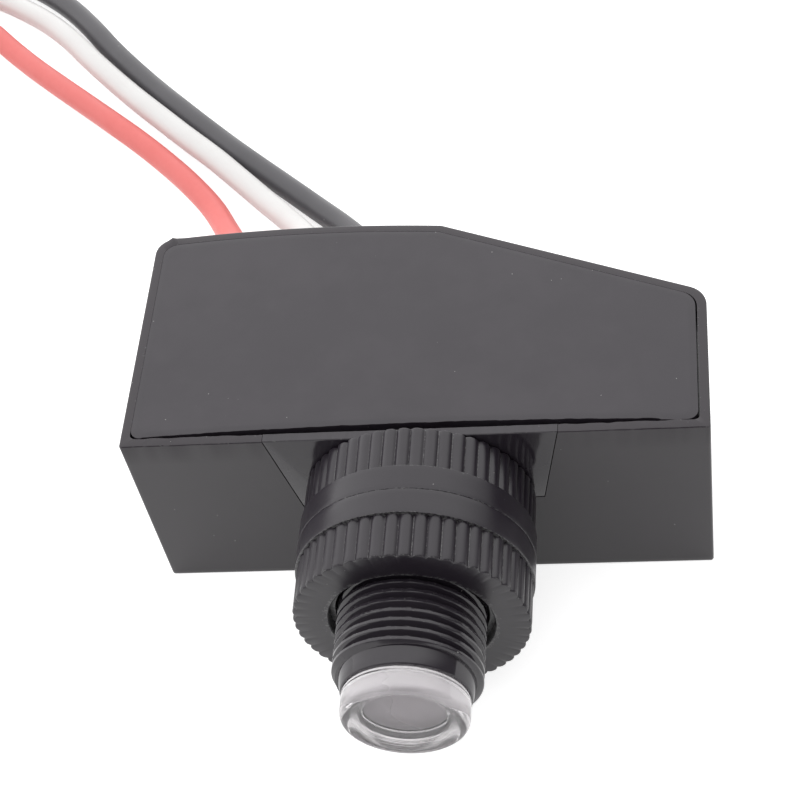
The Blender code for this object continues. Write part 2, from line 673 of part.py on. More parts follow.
def circuit_board(finish):
    """The board, cut to the box's plan and drilled for every leg."""
    outline = body_outline(SIDE_DRAFT + WALL + BOARD_EDGE_GAP, front=BOARD_FRONT - FRONT,
                           back=FRONT + BODY_DEPTH - BOARD_BACK + BACK_BOW)
    board = solid("circuit_board", upright(outline, BOARD_UNDERSIDE, BOARD_TOP), finish)
    holes = [upright(circle(x, y, width / 2, 8), BOARD_UNDERSIDE - 1, BOARD_TOP + 1)
             for x, y, width in leg_holes()]
    cut(board, holes, "leg_holes")
    return board


def straight_legs(places, top):
    """Round legs that stand in the board's holes."""
    return [upright(circle(x, y, LEG_DIAMETER / 2, 6), LEG_TIP, top + LEG_BITE) for x, y in places]


def relay_legs():
    """Plan places of the relay's four legs."""
    near, far = RELAY_FRONT + RELAY_LEG_INSET, RELAY_BACK - RELAY_LEG_INSET
    left = RELAY_LEFT + RELAY_LEG_INSET
    right = RELAY_RIGHT - RELAY_LEG_INSET
    return [(x, y) for x in (left, right) for y in (near, far)]


def relay(finish):
    """The sealed power relay."""
    outline = soft_rectangle(RELAY_LEFT, RELAY_RIGHT, RELAY_FRONT, RELAY_BACK, CASE_CORNER)
    body = solid("relay", upright(outline, PIECES_UP, PIECES_UP + RELAY_HEIGHT), finish)
    join(body, straight_legs(relay_legs(), PIECES_UP), "legs")
    return body


def film_legs():
    """Plan places of the film capacitor's legs."""
    middle = (FILM_FRONT + FILM_BACK) / 2
    return [(FILM_LEFT + FILM_LEG_INSET, middle), (FILM_RIGHT - FILM_LEG_INSET, middle)]


def film_capacitor(finish):
    """The boxed film capacitor that drops the mains."""
    outline = soft_rectangle(FILM_LEFT, FILM_RIGHT, FILM_FRONT, FILM_BACK, CASE_CORNER)
    body = solid("film_capacitor", upright(outline, PIECES_UP, PIECES_UP + FILM_HEIGHT), finish)
    join(body, straight_legs(film_legs(), PIECES_UP), "legs")
    return body


def can_legs():
    """Plan places of the smoothing capacitor's legs."""
    return [(CAN_X + side * CAN_LEG_SPACING / 2, CAN_Y) for side in (-1, 1)]


def smoothing_capacitor(finish):
    """The upright can with its rolled groove."""
    radius = CAN_DIAMETER / 2
    ease = CAN_GROOVE_DEPTH
    groove = PIECES_UP + CAN_GROOVE_HEIGHT
    top = PIECES_UP + CAN_HEIGHT
    profile = [(PIECES_UP, radius - ease), (PIECES_UP + ease, radius), (groove - ease, radius),
               (groove, radius - ease), (groove + ease, radius), (top - ease, radius),
               (top, radius - ease)]
    body = solid("smoothing_capacitor", standing(profile, CAN_X, CAN_Y, 24), finish)
    join(body, straight_legs(can_legs(), PIECES_UP), "legs")
    return body


def varistor_legs():
    """Plan places of the varistor's legs."""
    reach = VARISTOR_DIAMETER / 2 - VARISTOR_LEG_INSET
    return [(VARISTOR_X + side * reach, VARISTOR_Y) for side in (-1, 1)]


def surge_varistor(finish):
    """The coated disc that takes mains surges, standing on edge."""
    radius = VARISTOR_DIAMETER / 2
    middle = PIECES_UP + VARISTOR_STAND_OFF + radius
    half = VARISTOR_THICKNESS / 2
    rings = []
    for share, size in ((-1.0, 0.62), (-0.62, 0.93), (0.0, 1.0), (0.62, 0.93), (1.0, 0.62)):
        outline = circle(VARISTOR_X, middle, radius * size, 24)
        rings.append([(x, VARISTOR_Y + share * half, z) for x, z in outline])
    body = solid("surge_varistor", rings, finish)
    join(body, straight_legs(varistor_legs(), middle - radius / 3), "legs")
    return body


def transistor_legs():
    """Plan places of the transistor's three legs."""
    return [(TRANSISTOR_X + k * TRANSISTOR_LEG_SPACING, TRANSISTOR_Y) for k in (-1, 0, 1)]


def switching_transistor(finish):
    """The small transistor with one flat side that drives the relay's coil."""
    half = TRANSISTOR_WIDTH / 2
    flat = TRANSISTOR_Y - TRANSISTOR_DEPTH / 2
    centre = flat + TRANSISTOR_DEPTH - half
    lowest = math.asin(max(-1.0, (flat - centre) / half))
    steps = 14
    outline = []
    for k in range(steps + 1):
        a = lowest + (math.pi - 2 * lowest) * k / steps
        outline.append((TRANSISTOR_X + half * math.cos(a), centre + half * math.sin(a)))
    low = PIECES_UP + TRANSISTOR_STAND_OFF
    body = solid("switching_transistor", upright(outline, low, low + TRANSISTOR_HEIGHT), finish)
    join(body, straight_legs(transistor_legs(), low), "legs")
    return body


def axial_legs(x, y, z, spacing, inner):
    """Two wires that leave a lying body and turn down into the board."""
    legs = []
    for side in (-1, 1):
        path = [(x + side * inner, y, z), (x + side * spacing / 2, y, z),
                (x + side * spacing / 2, y, LEG_TIP)]
        legs.append(swept(bent(path, WIRE_BEND / 2), LEG_DIAMETER))
    return legs


def diode_legs(k):
    """Plan places of one rectifier diode's legs."""
    y = DIODE_FIRST_Y + k * DIODE_PITCH
    return [(DIODE_SHIFT + side * DIODE_LEG_SPACING / 2, y) for side in (-1, 1)]


def rectifier_diode(k, finish):
    """One of the four diodes of the bridge, lying across the board."""
    radius = DIODE_DIAMETER / 2
    y = DIODE_FIRST_Y + k * DIODE_PITCH
    z = PIECES_UP + radius
    half = DIODE_LENGTH / 2
    ease = CASE_CORNER / 2
    profile = [(-half, radius - ease), (-half + ease, radius), (half - ease, radius),
               (half, radius - ease)]
    body = solid(f"rectifier_diode_{k + 1}", lying(profile, DIODE_SHIFT, y, z, 16), finish)
    join(body, axial_legs(DIODE_SHIFT, y, z, DIODE_LEG_SPACING, half - LEG_BITE), "legs")
    return body


def zener_legs():
    """Plan places of the zener diode's legs."""
    return [(ZENER_X, ZENER_Y), (ZENER_X, ZENER_Y + ZENER_LEG_SPACING)]


def zener_diode(finish):
    """The zener diode, standing on one leg with the other looped over."""
    radius = ZENER_DIAMETER / 2
    ease = CASE_CORNER / 2
    top = PIECES_UP + ZENER_LENGTH
    profile = [(PIECES_UP, radius - ease), (PIECES_UP + ease, radius), (top - ease, radius),
               (top, radius - ease)]
    body = solid("zener_diode", standing(profile, ZENER_X, ZENER_Y, 16), finish)
    over = top + ZENER_LEG_SPACING / 2
    far = ZENER_Y + ZENER_LEG_SPACING
    loop = [(ZENER_X, ZENER_Y, top - LEG_BITE), (ZENER_X, ZENER_Y, over), (ZENER_X, far, over),
            (ZENER_X, far, LEG_TIP)]
    legs = straight_legs([(ZENER_X, ZENER_Y)], PIECES_UP)
    legs.append(swept(bent(loop, WIRE_BEND / 2), LEG_DIAMETER))
    join(body, legs, "legs")
    return body


def resistor_legs(k):
    """Plan places of one resistor's legs."""
    x = RESISTOR_ROW_LEFT + (k + 0.5) * RESISTOR_STEP
    return [(x + side * RESISTOR_LEG_SPACING / 2, RESISTOR_Y) for side in (-1, 1)]


def resistor(k, finish):
    """A film resistor with swollen ends, lying along the board."""
    (left, y), (right, _) = resistor_legs(k)
    x = (left + right) / 2
    radius = RESISTOR_DIAMETER / 2
    waist = radius - RESISTOR_END_SWELL
    half = RESISTOR_LENGTH / 2
    cap = half / 3
    z = PIECES_UP + radius
    profile = [(-half, waist - RESISTOR_END_SWELL), (-half + cap / 3, radius),
               (-half + cap, radius), (-half + cap * 1.3, waist), (half - cap * 1.3, waist),
               (half - cap, radius), (half - cap / 3, radius), (half, waist - RESISTOR_END_SWELL)]
    body = solid(f"resistor_{k + 1}", lying(profile, x, y, z, 16), finish)
    join(body, axial_legs(x, y, z, RESISTOR_LEG_SPACING, half - LEG_BITE), "legs")
    return body


def cell_legs():
    """Plan places of the photoresistor's legs in the board."""
    return [(side * CELL_LEG_SPACING / 2, CELL_LEG_Y) for side in (-1, 1)]


def photoresistor(finish):
    """The light-sensitive cell behind the lens, on two long legs that run back to the board."""
    radius = BORE_DIAMETER / 2 - SEAT_GAP
    front = FRONT - CELL_FRONT
    cell = [(front - CELL_THICKNESS, radius - EDGE_CHAMFER),
            (front - CELL_THICKNESS + EDGE_CHAMFER, radius),
            (front - EDGE_CHAMFER, radius), (front, radius - EDGE_CHAMFER)]
    body = solid("photoresistor", turned(cell, 32), finish)
    legs = []
    for x, y in cell_legs():
        path = [(x, CELL_FRONT + CELL_THICKNESS - LEG_BITE, AXIS_HEIGHT), (x, y, AXIS_HEIGHT),
                (x, y, LEG_TIP)]
        legs.append(swept(bent(path, WIRE_BEND), CELL_LEG_DIAMETER))
    join(body, legs, "legs")
    return body


def smooth_path(points, lowest):
    """A fine curve through points set at any spacing, kept at or above a height."""
    path = [Vector(p) for p in points]
    path = [path[0] * 2 - path[1]] + path + [path[-1] * 2 - path[-2]]
    fine = []
    for a, b, c, d in zip(path, path[1:], path[2:], path[3:]):
        before, size, after = (b - a).length, (c - b).length, (d - c).length
        leave = ((b - a) / before - (c - a) / (before + size) + (c - b) / size) * size
        arrive = ((c - b) / size - (d - b) / (size + after) + (d - c) / after) * size
        for k in range(CURVE_STEPS):
            t = k / CURVE_STEPS
            point = b * (2 * t ** 3 - 3 * t * t + 1) + leave * (t ** 3 - 2 * t * t + t)
            point += c * (3 * t * t - 2 * t ** 3) + arrive * (t ** 3 - t * t)
            fine.append(Vector((point.x, point.y, max(point.z, lowest))))
    fine.append(path[-2])
    return fine


def spaced(path, step):
    """Points an equal step apart along a path, with both of its ends."""
    lengths = [0.0]
    for a, b in zip(path, path[1:]):
        lengths.append(lengths[-1] + (b - a).length)
    count = max(2, round(lengths[-1] / step) + 1)
    out, k = [], 0
    for n in range(count):
        goal = lengths[-1] * n / (count - 1)
        while k < len(lengths) - 2 and lengths[k + 1] < goal:
            k += 1
        share = (goal - lengths[k]) / max(lengths[k + 1] - lengths[k], 1e-9)
        out.append(path[k].lerp(path[k + 1], min(1.0, share)))
    return out


def part_of(path, start, end):
    """The stretch of a path between two lengths along it."""
    out, gone = [], 0.0
    for a, b in zip(path, path[1:]):
        size = (b - a).length
        if not out and gone + size >= start:
            out.append(a.lerp(b, (start - gone) / size))
        if out and gone + size >= end:
            out.append(a.lerp(b, (end - gone) / size))
            return out
        if out:
            out.append(b)
        gone += size
    return out


def lead_route(route, index):
    """A lead's whole line: out of the box, over the surface, and round into a loose curl."""
    centre_x, centre_y = CURL_CENTRE
    radius = CURL_RADIUS + index * CURL_SPACING
    curl = []
    angle = CURL_STARTS[index]
    while angle < CURL_END:
        a = math.radians(angle)
        curl.append((centre_x + radius * math.cos(a), centre_y + radius * math.sin(a), LEAD_REST))
        angle += CURL_STEP
    start = (route[0][0], LEAD_START, LEAD_HEIGHT)
    return smooth_path([start] + route + curl, LEAD_REST)


def cord(name, path, diameter, finish):
    """A round cord along a path, as a bevelled curve with filled ends."""
    curve = bpy.data.curves.new(name, "CURVE")
    curve.dimensions = "3D"
    curve.bevel_depth = diameter / 2 * MM
    curve.bevel_resolution = 2
    curve.use_fill_caps = True
    spline = curve.splines.new("POLY")
    spline.points.add(len(path) - 1)
    for point, place_at in zip(spline.points, path):
        point.co = (*(place_at * MM), 1.0)
    curve.materials.append(finish)
    piece = bpy.data.objects.new(name, curve)
    bpy.context.scene.collection.objects.link(piece)
    return piece


def lead(colour, index, route, insulation, copper):
    """One lead: its insulated run, its soldered end in the box and its stripped free end."""
    whole = lead_route(route, index)
    inside = route[0][1] - LEAD_START
    end = inside + LEAD_OUTSIDE - STRIPPED_END
    cord(f"{colour}_lead", spaced(part_of(whole, 0.0, end), CORD_POINT_STEP), LEAD_DIAMETER, insulation)
    bare = part_of(whole, end + SEAT_GAP, end + STRIPPED_END)
    cord(f"{colour}_lead_bare_end", spaced(bare, CORD_POINT_STEP / 2), CONDUCTOR_DIAMETER, copper)
    x = route[0][0]
    tail = [(x, LEAD_START - SEAT_GAP, LEAD_HEIGHT), (x, CONDUCTOR_Y, LEAD_HEIGHT),
            (x, CONDUCTOR_Y, LEG_TIP)]
    solid(f"{colour}_lead_tail", swept(bent(tail, WIRE_BEND / 2), CONDUCTOR_DIAMETER, 8), copper)


def build():
    """Make every piece of the switch."""
    black_plastic = (0.030, 0.030, 0.032)
    housing(material("housing_plastic", black_plastic, 0.45))
    cover_plate(material("cover_plastic", (0.034, 0.034, 0.036), 0.6))
    nose_barrel(material("nose_plastic", (0.024, 0.024, 0.026), 0.4))
    lens(material("lens_plastic", (0.85, 0.86, 0.87), 0.05))
    rear = FACE_GAP
    knurled_nut("rear_nut", rear, 1, material("rear_nut_plastic", (0.026, 0.026, 0.028), 0.5))
    front = rear + NUT_LENGTH + FACE_GAP
    knurled_nut("front_nut", front, -1, material("front_nut_plastic", (0.026, 0.026, 0.028), 0.5))
    lead_clamp(material("clamp_plastic", (0.05, 0.05, 0.05), 0.6))
    circuit_board(material("board_laminate", (0.32, 0.24, 0.10), 0.6))
    relay(material("relay_case", (0.02, 0.09, 0.30), 0.4))
    film_capacitor(material("film_case", (0.55, 0.42, 0.06), 0.5))
    smoothing_capacitor(material("can_sleeve", (0.03, 0.05, 0.12), 0.35))
    surge_varistor(material("varistor_coat", (0.02, 0.12, 0.35), 0.4))
    switching_transistor(material("transistor_case", (0.03, 0.03, 0.03), 0.5))
    diode_case = material("diode_case", (0.02, 0.02, 0.02), 0.4)
    for k in range(DIODE_COUNT):
        rectifier_diode(k, diode_case)
    zener_diode(material("zener_glass", (0.45, 0.16, 0.05), 0.2))
    resistor_coat = material("resistor_coat", (0.50, 0.38, 0.24), 0.5)
    for k in range(RESISTOR_COUNT):
        resistor(k, resistor_coat)
    photoresistor(material("cell_face", (0.50, 0.42, 0.32), 0.5))
    copper = material("tinned_copper", (0.72, 0.70, 0.68), 0.35, 1.0)
    lead("red", 0, RED_ROUTE, material("red_insulation", (0.75, 0.04, 0.03), 0.4), copper)
    lead("white", 1, WHITE_ROUTE, material("white_insulation", (0.80, 0.79, 0.76), 0.4), copper)
    lead("black", 2, BLACK_ROUTE, material("black_insulation", (0.02, 0.02, 0.02), 0.4), copper)


for leftover in list(bpy.data.objects):
    bpy.data.objects.remove(leftover)
build()
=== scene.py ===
"""Looks of the photocell switch: its pieces, finishes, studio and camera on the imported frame.

Sizes are in millimetres in the frame's own axes and become metres where a mesh is made. The
nose points along -Y, and a reach is a distance out of the front wall along it.
"""

import logging
import math
from dataclasses import dataclass, field
from enum import Enum
from typing import Callable, Sequence

import bmesh
import bpy
from mathutils import Matrix, Vector, kdtree, noise


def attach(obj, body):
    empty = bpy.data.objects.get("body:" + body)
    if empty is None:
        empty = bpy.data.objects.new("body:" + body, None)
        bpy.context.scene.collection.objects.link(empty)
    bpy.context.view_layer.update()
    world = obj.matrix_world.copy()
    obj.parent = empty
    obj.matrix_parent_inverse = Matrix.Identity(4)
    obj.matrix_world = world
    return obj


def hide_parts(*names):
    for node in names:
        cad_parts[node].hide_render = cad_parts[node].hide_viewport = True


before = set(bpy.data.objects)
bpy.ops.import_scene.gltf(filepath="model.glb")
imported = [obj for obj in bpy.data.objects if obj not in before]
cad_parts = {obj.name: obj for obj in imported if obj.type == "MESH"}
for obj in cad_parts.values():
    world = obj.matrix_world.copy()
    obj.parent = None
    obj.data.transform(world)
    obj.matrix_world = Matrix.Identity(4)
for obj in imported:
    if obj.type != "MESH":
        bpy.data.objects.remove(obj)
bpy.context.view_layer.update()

MM = 0.001
LOG = logging.getLogger("photocell_switch")

# How far a cutter reaches past what it cuts, in mm, and the spans in a rounded edge
OVERSHOOT = 1.0
ARC_STEPS = 3

Point = tuple[float, float, float]
Plan = list[tuple[float, float]]
Ring = list[Point]
Colour = tuple[float, float, float]
Wave = Callable[[float], float]
Sockets = dict[str, bpy.types.NodeSocket]


class Body(Enum):
    """The moving bodies of the frame."""

    BOX = "box"
    REAR_NUT = "rear_nut_body"
    FRONT_NUT = "front_nut_body"


class Facing(Enum):
    """Which way a nut's flange looks along the nose."""

    OUTWARD = 1
    INWARD = -1


# Geometry helpers


def still(_: float) -> float:
    """A wave with no height."""
    return 0.0


def ripple(size: float, pitch: float, seed: float) -> Wave:
    """A smooth irregular wave.

    Args:
        size: The wave's largest height in mm.
        pitch: The distance in mm over which it changes.
        seed: Where in the noise it is read.

    Returns:
        A function from a distance in mm to a height in mm.
    """
    return lambda t: size * noise.fractal(Vector((t / pitch, seed, 0.5)), 0.8, 2.1, 3)


def crossing(p: Sequence[float], d: Sequence[float], q: Sequence[float],
             e: Sequence[float]) -> tuple[float, float]:
    """The point where the line through p along d meets the line through q along e."""
    along = ((q[0] - p[0]) * e[1] - (q[1] - p[1]) * e[0]) / (d[0] * e[1] - d[1] * e[0])
    return p[0] + along * d[0], p[1] + along * d[1]


def fillet(before: Sequence[float], corner: Sequence[float], after: Sequence[float],
           radius: float, steps: int) -> Plan:
    """Points of the arc that rounds a plan corner.

    Args:
        before: A point on the line into the corner.
        corner: The corner.
        after: A point on the line out of the corner.
        radius: The arc's radius in mm.
        steps: Number of spans in the arc.

    Returns:
        The arc's points in order.
    """
    into = (Vector(corner) - Vector(before)).normalized()
    away = (Vector(after) - Vector(corner)).normalized()
    turn = into.angle(away)
    start = Vector(corner) - into * radius * math.tan(turn / 2)
    inward = (away - into * into.dot(away)).normalized()
    centre = start + inward * radius
    points = []
    for k in range(steps + 1):
        a = turn * k / steps
        spot = centre - inward * radius * math.cos(a) + into * radius * math.sin(a)
        points.append((spot.x, spot.y))
    return points


def scaled(wave: Wave, share: float) -> Wave:
    """A wave with every height multiplied by a share."""
    return lambda t: wave(t) * share


def quarter_turn(steps: int) -> list[tuple[float, float, float]]:
    """The share, sine and cosine at equal steps of a quarter turn."""
    turns = [(k / steps, math.pi / 2 * k / steps) for k in range(steps + 1)]
    return [(share, math.sin(a), math.cos(a)) for share, a in turns]


def rough_at(angle: float, size: float, third: float) -> float:
    """The irregular noise round a turned surface, from about -1 to 1.

    Args:
        angle: The place round the axis in radians.
        size: The radius of the circle in the noise.
        third: The place along the noise's third axis.

    Returns:
        The noise's value.
    """
    return noise.fractal(Vector((math.cos(angle) * size, math.sin(angle) * size, third)), 0.7, 2.2, 3)


def between(start: Sequence[float], end: Sequence[float], count: int) -> Plan:
    """The points that part a line into equal spans, without its ends."""
    return [tuple(a + (b - a) * k / count for a, b in zip(start, end)) for k in range(1, count)]


def round_points(radius: float, sides: int) -> Plan:
    """Points round a circle about the origin, anticlockwise."""
    return [(radius * math.cos(2 * math.pi * k / sides), radius * math.sin(2 * math.pi * k / sides))
            for k in range(sides)]


def level(plan: Plan, z: float) -> Ring:
    """A plan outline at one height."""
    return [(x, y, z) for x, y in plan]


def closed_mesh(name: str, points: Sequence[Point], faces: Sequence[Sequence[int]]) -> bpy.types.Mesh:
    """A mesh with its normals turned outward.

    Args:
        name: The mesh's name.
        points: Its points in metres.
        faces: Its faces as indices of points.

    Returns:
        The mesh.
    """
    mesh = bpy.data.meshes.new(name)
    mesh.from_pydata(points, [], faces)
    work = bmesh.new()
    work.from_mesh(mesh)
    bmesh.ops.recalc_face_normals(work, faces=work.faces)
    work.to_mesh(mesh)
    work.free()
    return mesh


def tube_faces(first: int, rings: int, count: int, joined: bool = False) -> list[tuple[int, ...]]:
    """The faces of a tube of rings.

    Args:
        first: The index of its first point.
        rings: The number of rings.
        count: The number of points in a ring.
        joined: Whether the last ring joins the first one; if not, both are filled.

    Returns:
        The faces as indices of points, quads first.
    """
    faces = []
    for row in range(rings if joined else rings - 1):
        low, high = first + row * count, first + (row + 1) % rings * count
        for k in range(count):
            after = (k + 1) % count
            faces.append((low + k, low + after, high + after, high + k))
    if not joined:
        faces.append(tuple(reversed(range(first, first + count))))
        faces.append(tuple(range(first + (rings - 1) * count, first + rings * count)))
    return faces


def loft(name: str, rings: Sequence[Ring], joined: bool = False) -> bpy.types.Mesh:
    """A closed mesh of quads between rings of equal length.

    Args:
        name: The mesh's name.
        rings: Rings in mm, in order along the surface.
        joined: Whether the last ring joins the first one; if not, both are filled.

    Returns:
        The mesh, in metres, with its normals outward.
    """
    points = [tuple(c * MM for c in point) for ring in rings for point in ring]
    return closed_mesh(name, points, tube_faces(0, len(rings), len(rings[0]), joined))


def put(name: str, data: bpy.types.ID) -> bpy.types.Object:
    """Make an object of its data and link it to the scene.

    Args:
        name: The object's name.
        data: Its mesh, curve or camera.

    Returns:
        The new object.
    """
    made = bpy.data.objects.new(name, data)
    bpy.context.scene.collection.objects.link(made)
    return made


def release(piece: bpy.types.Object) -> bpy.types.Mesh:
    """Take the finished mesh off the bare object that held it.

    Args:
        piece: The object, which is deleted.

    Returns:
        Its mesh.
    """
    mesh = piece.data
    bpy.data.objects.remove(piece)
    return mesh


def carve(piece: bpy.types.Object, cutters: Sequence[bpy.types.Mesh], operation: str = "DIFFERENCE") -> None:
    """Cut closed meshes out of a piece, or join them to it, for good.

    Args:
        piece: The object whose mesh changes.
        cutters: Closed meshes in the frame's own place.
        operation: DIFFERENCE or UNION.
    """
    tools = []
    for number, cutter in enumerate(cutters):
        tool = put(f"tool_{number}", cutter)
        modifier = piece.modifiers.new(tool.name, "BOOLEAN")
        modifier.operation, modifier.solver, modifier.object = operation, "EXACT", tool
        tools.append(tool)
    graph = bpy.context.evaluated_depsgraph_get()
    made = bpy.data.meshes.new_from_object(piece.evaluated_get(graph))
    piece.modifiers.clear()
    old, piece.data = piece.data, made
    bpy.data.meshes.remove(old)
    for tool in tools:
        bpy.data.objects.remove(tool)


def mark_edges(mesh: bpy.types.Mesh, reach: float = 0.3, angle: float = 28.0) -> None:
    """Write how near each point is to a sharp edge, as the attribute that edge wear reads.

    Args:
        mesh: The mesh to mark.
        reach: The distance in mm at which the mark has faded out.
        angle: The least angle in degrees of an edge that counts as sharp.
    """
    work = bmesh.new()
    work.from_mesh(mesh)
    limit = math.radians(angle)
    sharp = {v.index for e in work.edges if e.is_manifold and e.calc_face_angle(0.0) > limit
             for v in e.verts}
    tree = kdtree.KDTree(max(1, len(sharp)))
    for index in sharp:
        tree.insert(mesh.vertices[index].co, index)
    tree.balance()
    work.free()
    marks = []
    for vertex in mesh.vertices:
        near = tree.find(vertex.co)[2] if sharp else None
        marks.append(0.0 if near is None else max(0.0, 1.0 - near / (reach * MM)))
    write_edge(mesh, marks)


def write_edge(mesh: bpy.types.Mesh, marks: Sequence[float]) -> None:
    """Store the edge mark of every point."""
    layer = mesh.attributes.get("edge") or mesh.attributes.new("edge", "FLOAT", "POINT")
    layer.data.foreach_set("value", list(marks))


def place(name: str, data: bpy.types.Mesh | bpy.types.Curve, finish: bpy.types.Material,
          body: Body, nodes: Sequence[str] = (), sharp: float = 32.0) -> bpy.types.Object:
    """Put a piece in the scene, dress it and tie it to the frame.

    Args:
        name: The piece's name.
        data: Its mesh or curve, already in place.
        finish: Its material.
        body: The body it rides on.
        nodes: The CAD nodes it stands for.
        sharp: Edges over this angle in degrees stay crisp.

    Returns:
        The new object.
    """
    piece = put(name, data)
    data.materials.clear()
    data.materials.append(finish)
    meshed = isinstance(data, bpy.types.Mesh)
    if meshed:
        data.shade_smooth()
        data.set_sharp_from_angle(angle=math.radians(sharp))
    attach(piece, body.value)
    if nodes:
        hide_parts(*nodes)
    parts = data.polygons if meshed else data.splines
    LOG.info("%s: %d %s on %s", name, len(parts), "faces" if meshed else "spline", body.value)
    return piece


# Shader effects


@dataclass
class Graph:
    """A node tree with short ways to add and join nodes."""

    tree: bpy.types.NodeTree

    def node(self, kind: str, **settings: object) -> bpy.types.Node:
        """Add a node.

        Args:
            kind: Its type in Blender.
            settings: Its properties by name.

        Returns:
            The node.
        """
        made = self.tree.nodes.new(kind)
        for key, value in settings.items():
            setattr(made, key, value)
        return made

    def feed(self, socket: bpy.types.NodeSocket, value: object) -> None:
        """Join a socket to another one, or set it to a plain value.

        Args:
            socket: The input that is fed.
            value: A socket, a number or a colour.
        """
        if isinstance(value, bpy.types.NodeSocket):
            self.tree.links.new(value, socket)
        elif isinstance(value, tuple) and len(value) == 3 and len(socket.default_value) == 4:
            socket.default_value = (*value, 1.0)
        else:
            socket.default_value = value

    def math(self, operation: str, first: object, second: object) -> bpy.types.NodeSocket:
        """A Math node's result.

        Args:
            operation: The node's operation.
            first: Its first value or socket.
            second: Its second value or socket.

        Returns:
            The result's socket.
        """
        made = self.node("ShaderNodeMath", operation=operation)
        self.feed(made.inputs[0], first)
        self.feed(made.inputs[1], second)
        return made.outputs[0]

    def spread(self, value: object, low: object, high: object, new_low: object,
               new_high: object) -> bpy.types.NodeSocket:
        """A value moved smoothly from one range to another and held inside it.

        Args:
            value: The value's socket.
            low: Where the first range starts.
            high: Where the first range ends.
            new_low: What becomes of its start.
            new_high: What becomes of its end.

        Returns:
            The result's socket.
        """
        made = self.node("ShaderNodeMapRange", clamp=True, interpolation_type="SMOOTHSTEP")
        for socket, given in zip(made.inputs, (value, low, high, new_low, new_high)):
            self.feed(socket, given)
        return made.outputs[0]

    def mix(self, share: object, first: object, second: object) -> bpy.types.NodeSocket:
        """Two colours mixed by a share.

        Args:
            share: How much of the second colour shows, from 0 to 1.
            first: The first colour or socket.
            second: The second colour or socket.

        Returns:
            The mixed colour's socket.
        """
        made = self.node("ShaderNodeMix", data_type="RGBA")
        self.feed(made.inputs[0], share)
        self.feed(made.inputs[6], first)
        self.feed(made.inputs[7], second)
        return made.outputs[2]

    def noise(self, place_at: object, scale: object, detail: float = 2.0,
              rough: float = 0.5) -> bpy.types.NodeSocket:
        """A noise texture's value.

        Args:
            place_at: The coordinates it is read at.
            scale: Its changes per metre.
            detail: Its number of finer layers.
            rough: How strong the finer layers are.

        Returns:
            The value's socket.
        """
        made = self.node("ShaderNodeTexNoise")
        self.feed(made.inputs["Vector"], place_at)
        self.feed(made.inputs["Scale"], scale)
        made.inputs["Detail"].default_value = detail
        made.inputs["Roughness"].default_value = rough
        return made.outputs["Fac"]

    def object_place(self) -> bpy.types.NodeSocket:
        """The piece's own coordinates in metres."""
        return self.node("ShaderNodeTexCoord").outputs["Object"]


@dataclass(frozen=True)
class GroupSocket:
    """A named socket of an effect, with its starting value."""

    name: str
    kind: str = "NodeSocketFloat"
    value: object = 0.0


class Effect:
    """A shader node group that several finishes share."""

    name: str = "effect"
    inputs: tuple[GroupSocket, ...] = ()
    outputs: tuple[GroupSocket, ...] = ()

    def __init__(self) -> None:
        """Make the group, its sockets and its nodes."""
        self.tree = bpy.data.node_groups.new(self.name, "ShaderNodeTree")
        for way, sockets in (("INPUT", self.inputs), ("OUTPUT", self.outputs)):
            for entry in sockets:
                made = self.tree.interface.new_socket(entry.name, in_out=way, socket_type=entry.kind)
                if way == "INPUT":
                    made.default_value = entry.value
        graph = Graph(self.tree)
        entry_node, exit_node = graph.node("NodeGroupInput"), graph.node("NodeGroupOutput")
        results = self.wire(graph, {s.name: entry_node.outputs[s.name] for s in self.inputs})
        for name, socket in results.items():
            graph.feed(exit_node.inputs[name], socket)

    def wire(self, graph: Graph, given: Sockets) -> Sockets:
        """Lay the group's nodes.

        Args:
            graph: The group's tree.
            given: The group's inputs by name.

        Returns:
            The group's outputs by name.
        """
        raise NotImplementedError

    def use(self, graph: Graph, **values: object) -> Sockets:
        """Place the group in a material.

        Args:
            graph: The material's tree.
            values: Values or sockets for inputs, with spaces in names written as underscores.

        Returns:
            The placed group's outputs by name.
        """
        made = graph.node("ShaderNodeGroup", node_tree=self.tree)
        for key, value in values.items():
            graph.feed(made.inputs[key.replace("_", " ")], value)
        return {s.name: made.outputs[s.name] for s in self.outputs}


class MouldedGrain(Effect):
    """The fine texture that a spark-finished mould leaves, with slow flow marks under it."""

    name = "moulded_grain"
    inputs = (GroupSocket("Coarseness", value=3000.0), GroupSocket("Flow", value=0.3))
    outputs = (GroupSocket("Height"), GroupSocket("Polish"))
    slow_scale = 0.06

    def wire(self, graph: Graph, given: Sockets) -> Sockets:
        """Lay fine noise over slow noise, and give the slow noise as polish too.

        Args:
            graph: The group's tree.
            given: The group's inputs by name.

        Returns:
            The group's outputs by name.
        """
        spot = graph.object_place()
        fine = graph.noise(spot, given["Coarseness"], detail=3.0, rough=0.65)
        slow = graph.noise(spot, graph.math("MULTIPLY", given["Coarseness"], self.slow_scale))
        height = graph.math("ADD", fine, graph.math("MULTIPLY", slow, given["Flow"]))
        return {"Height": height, "Polish": slow}


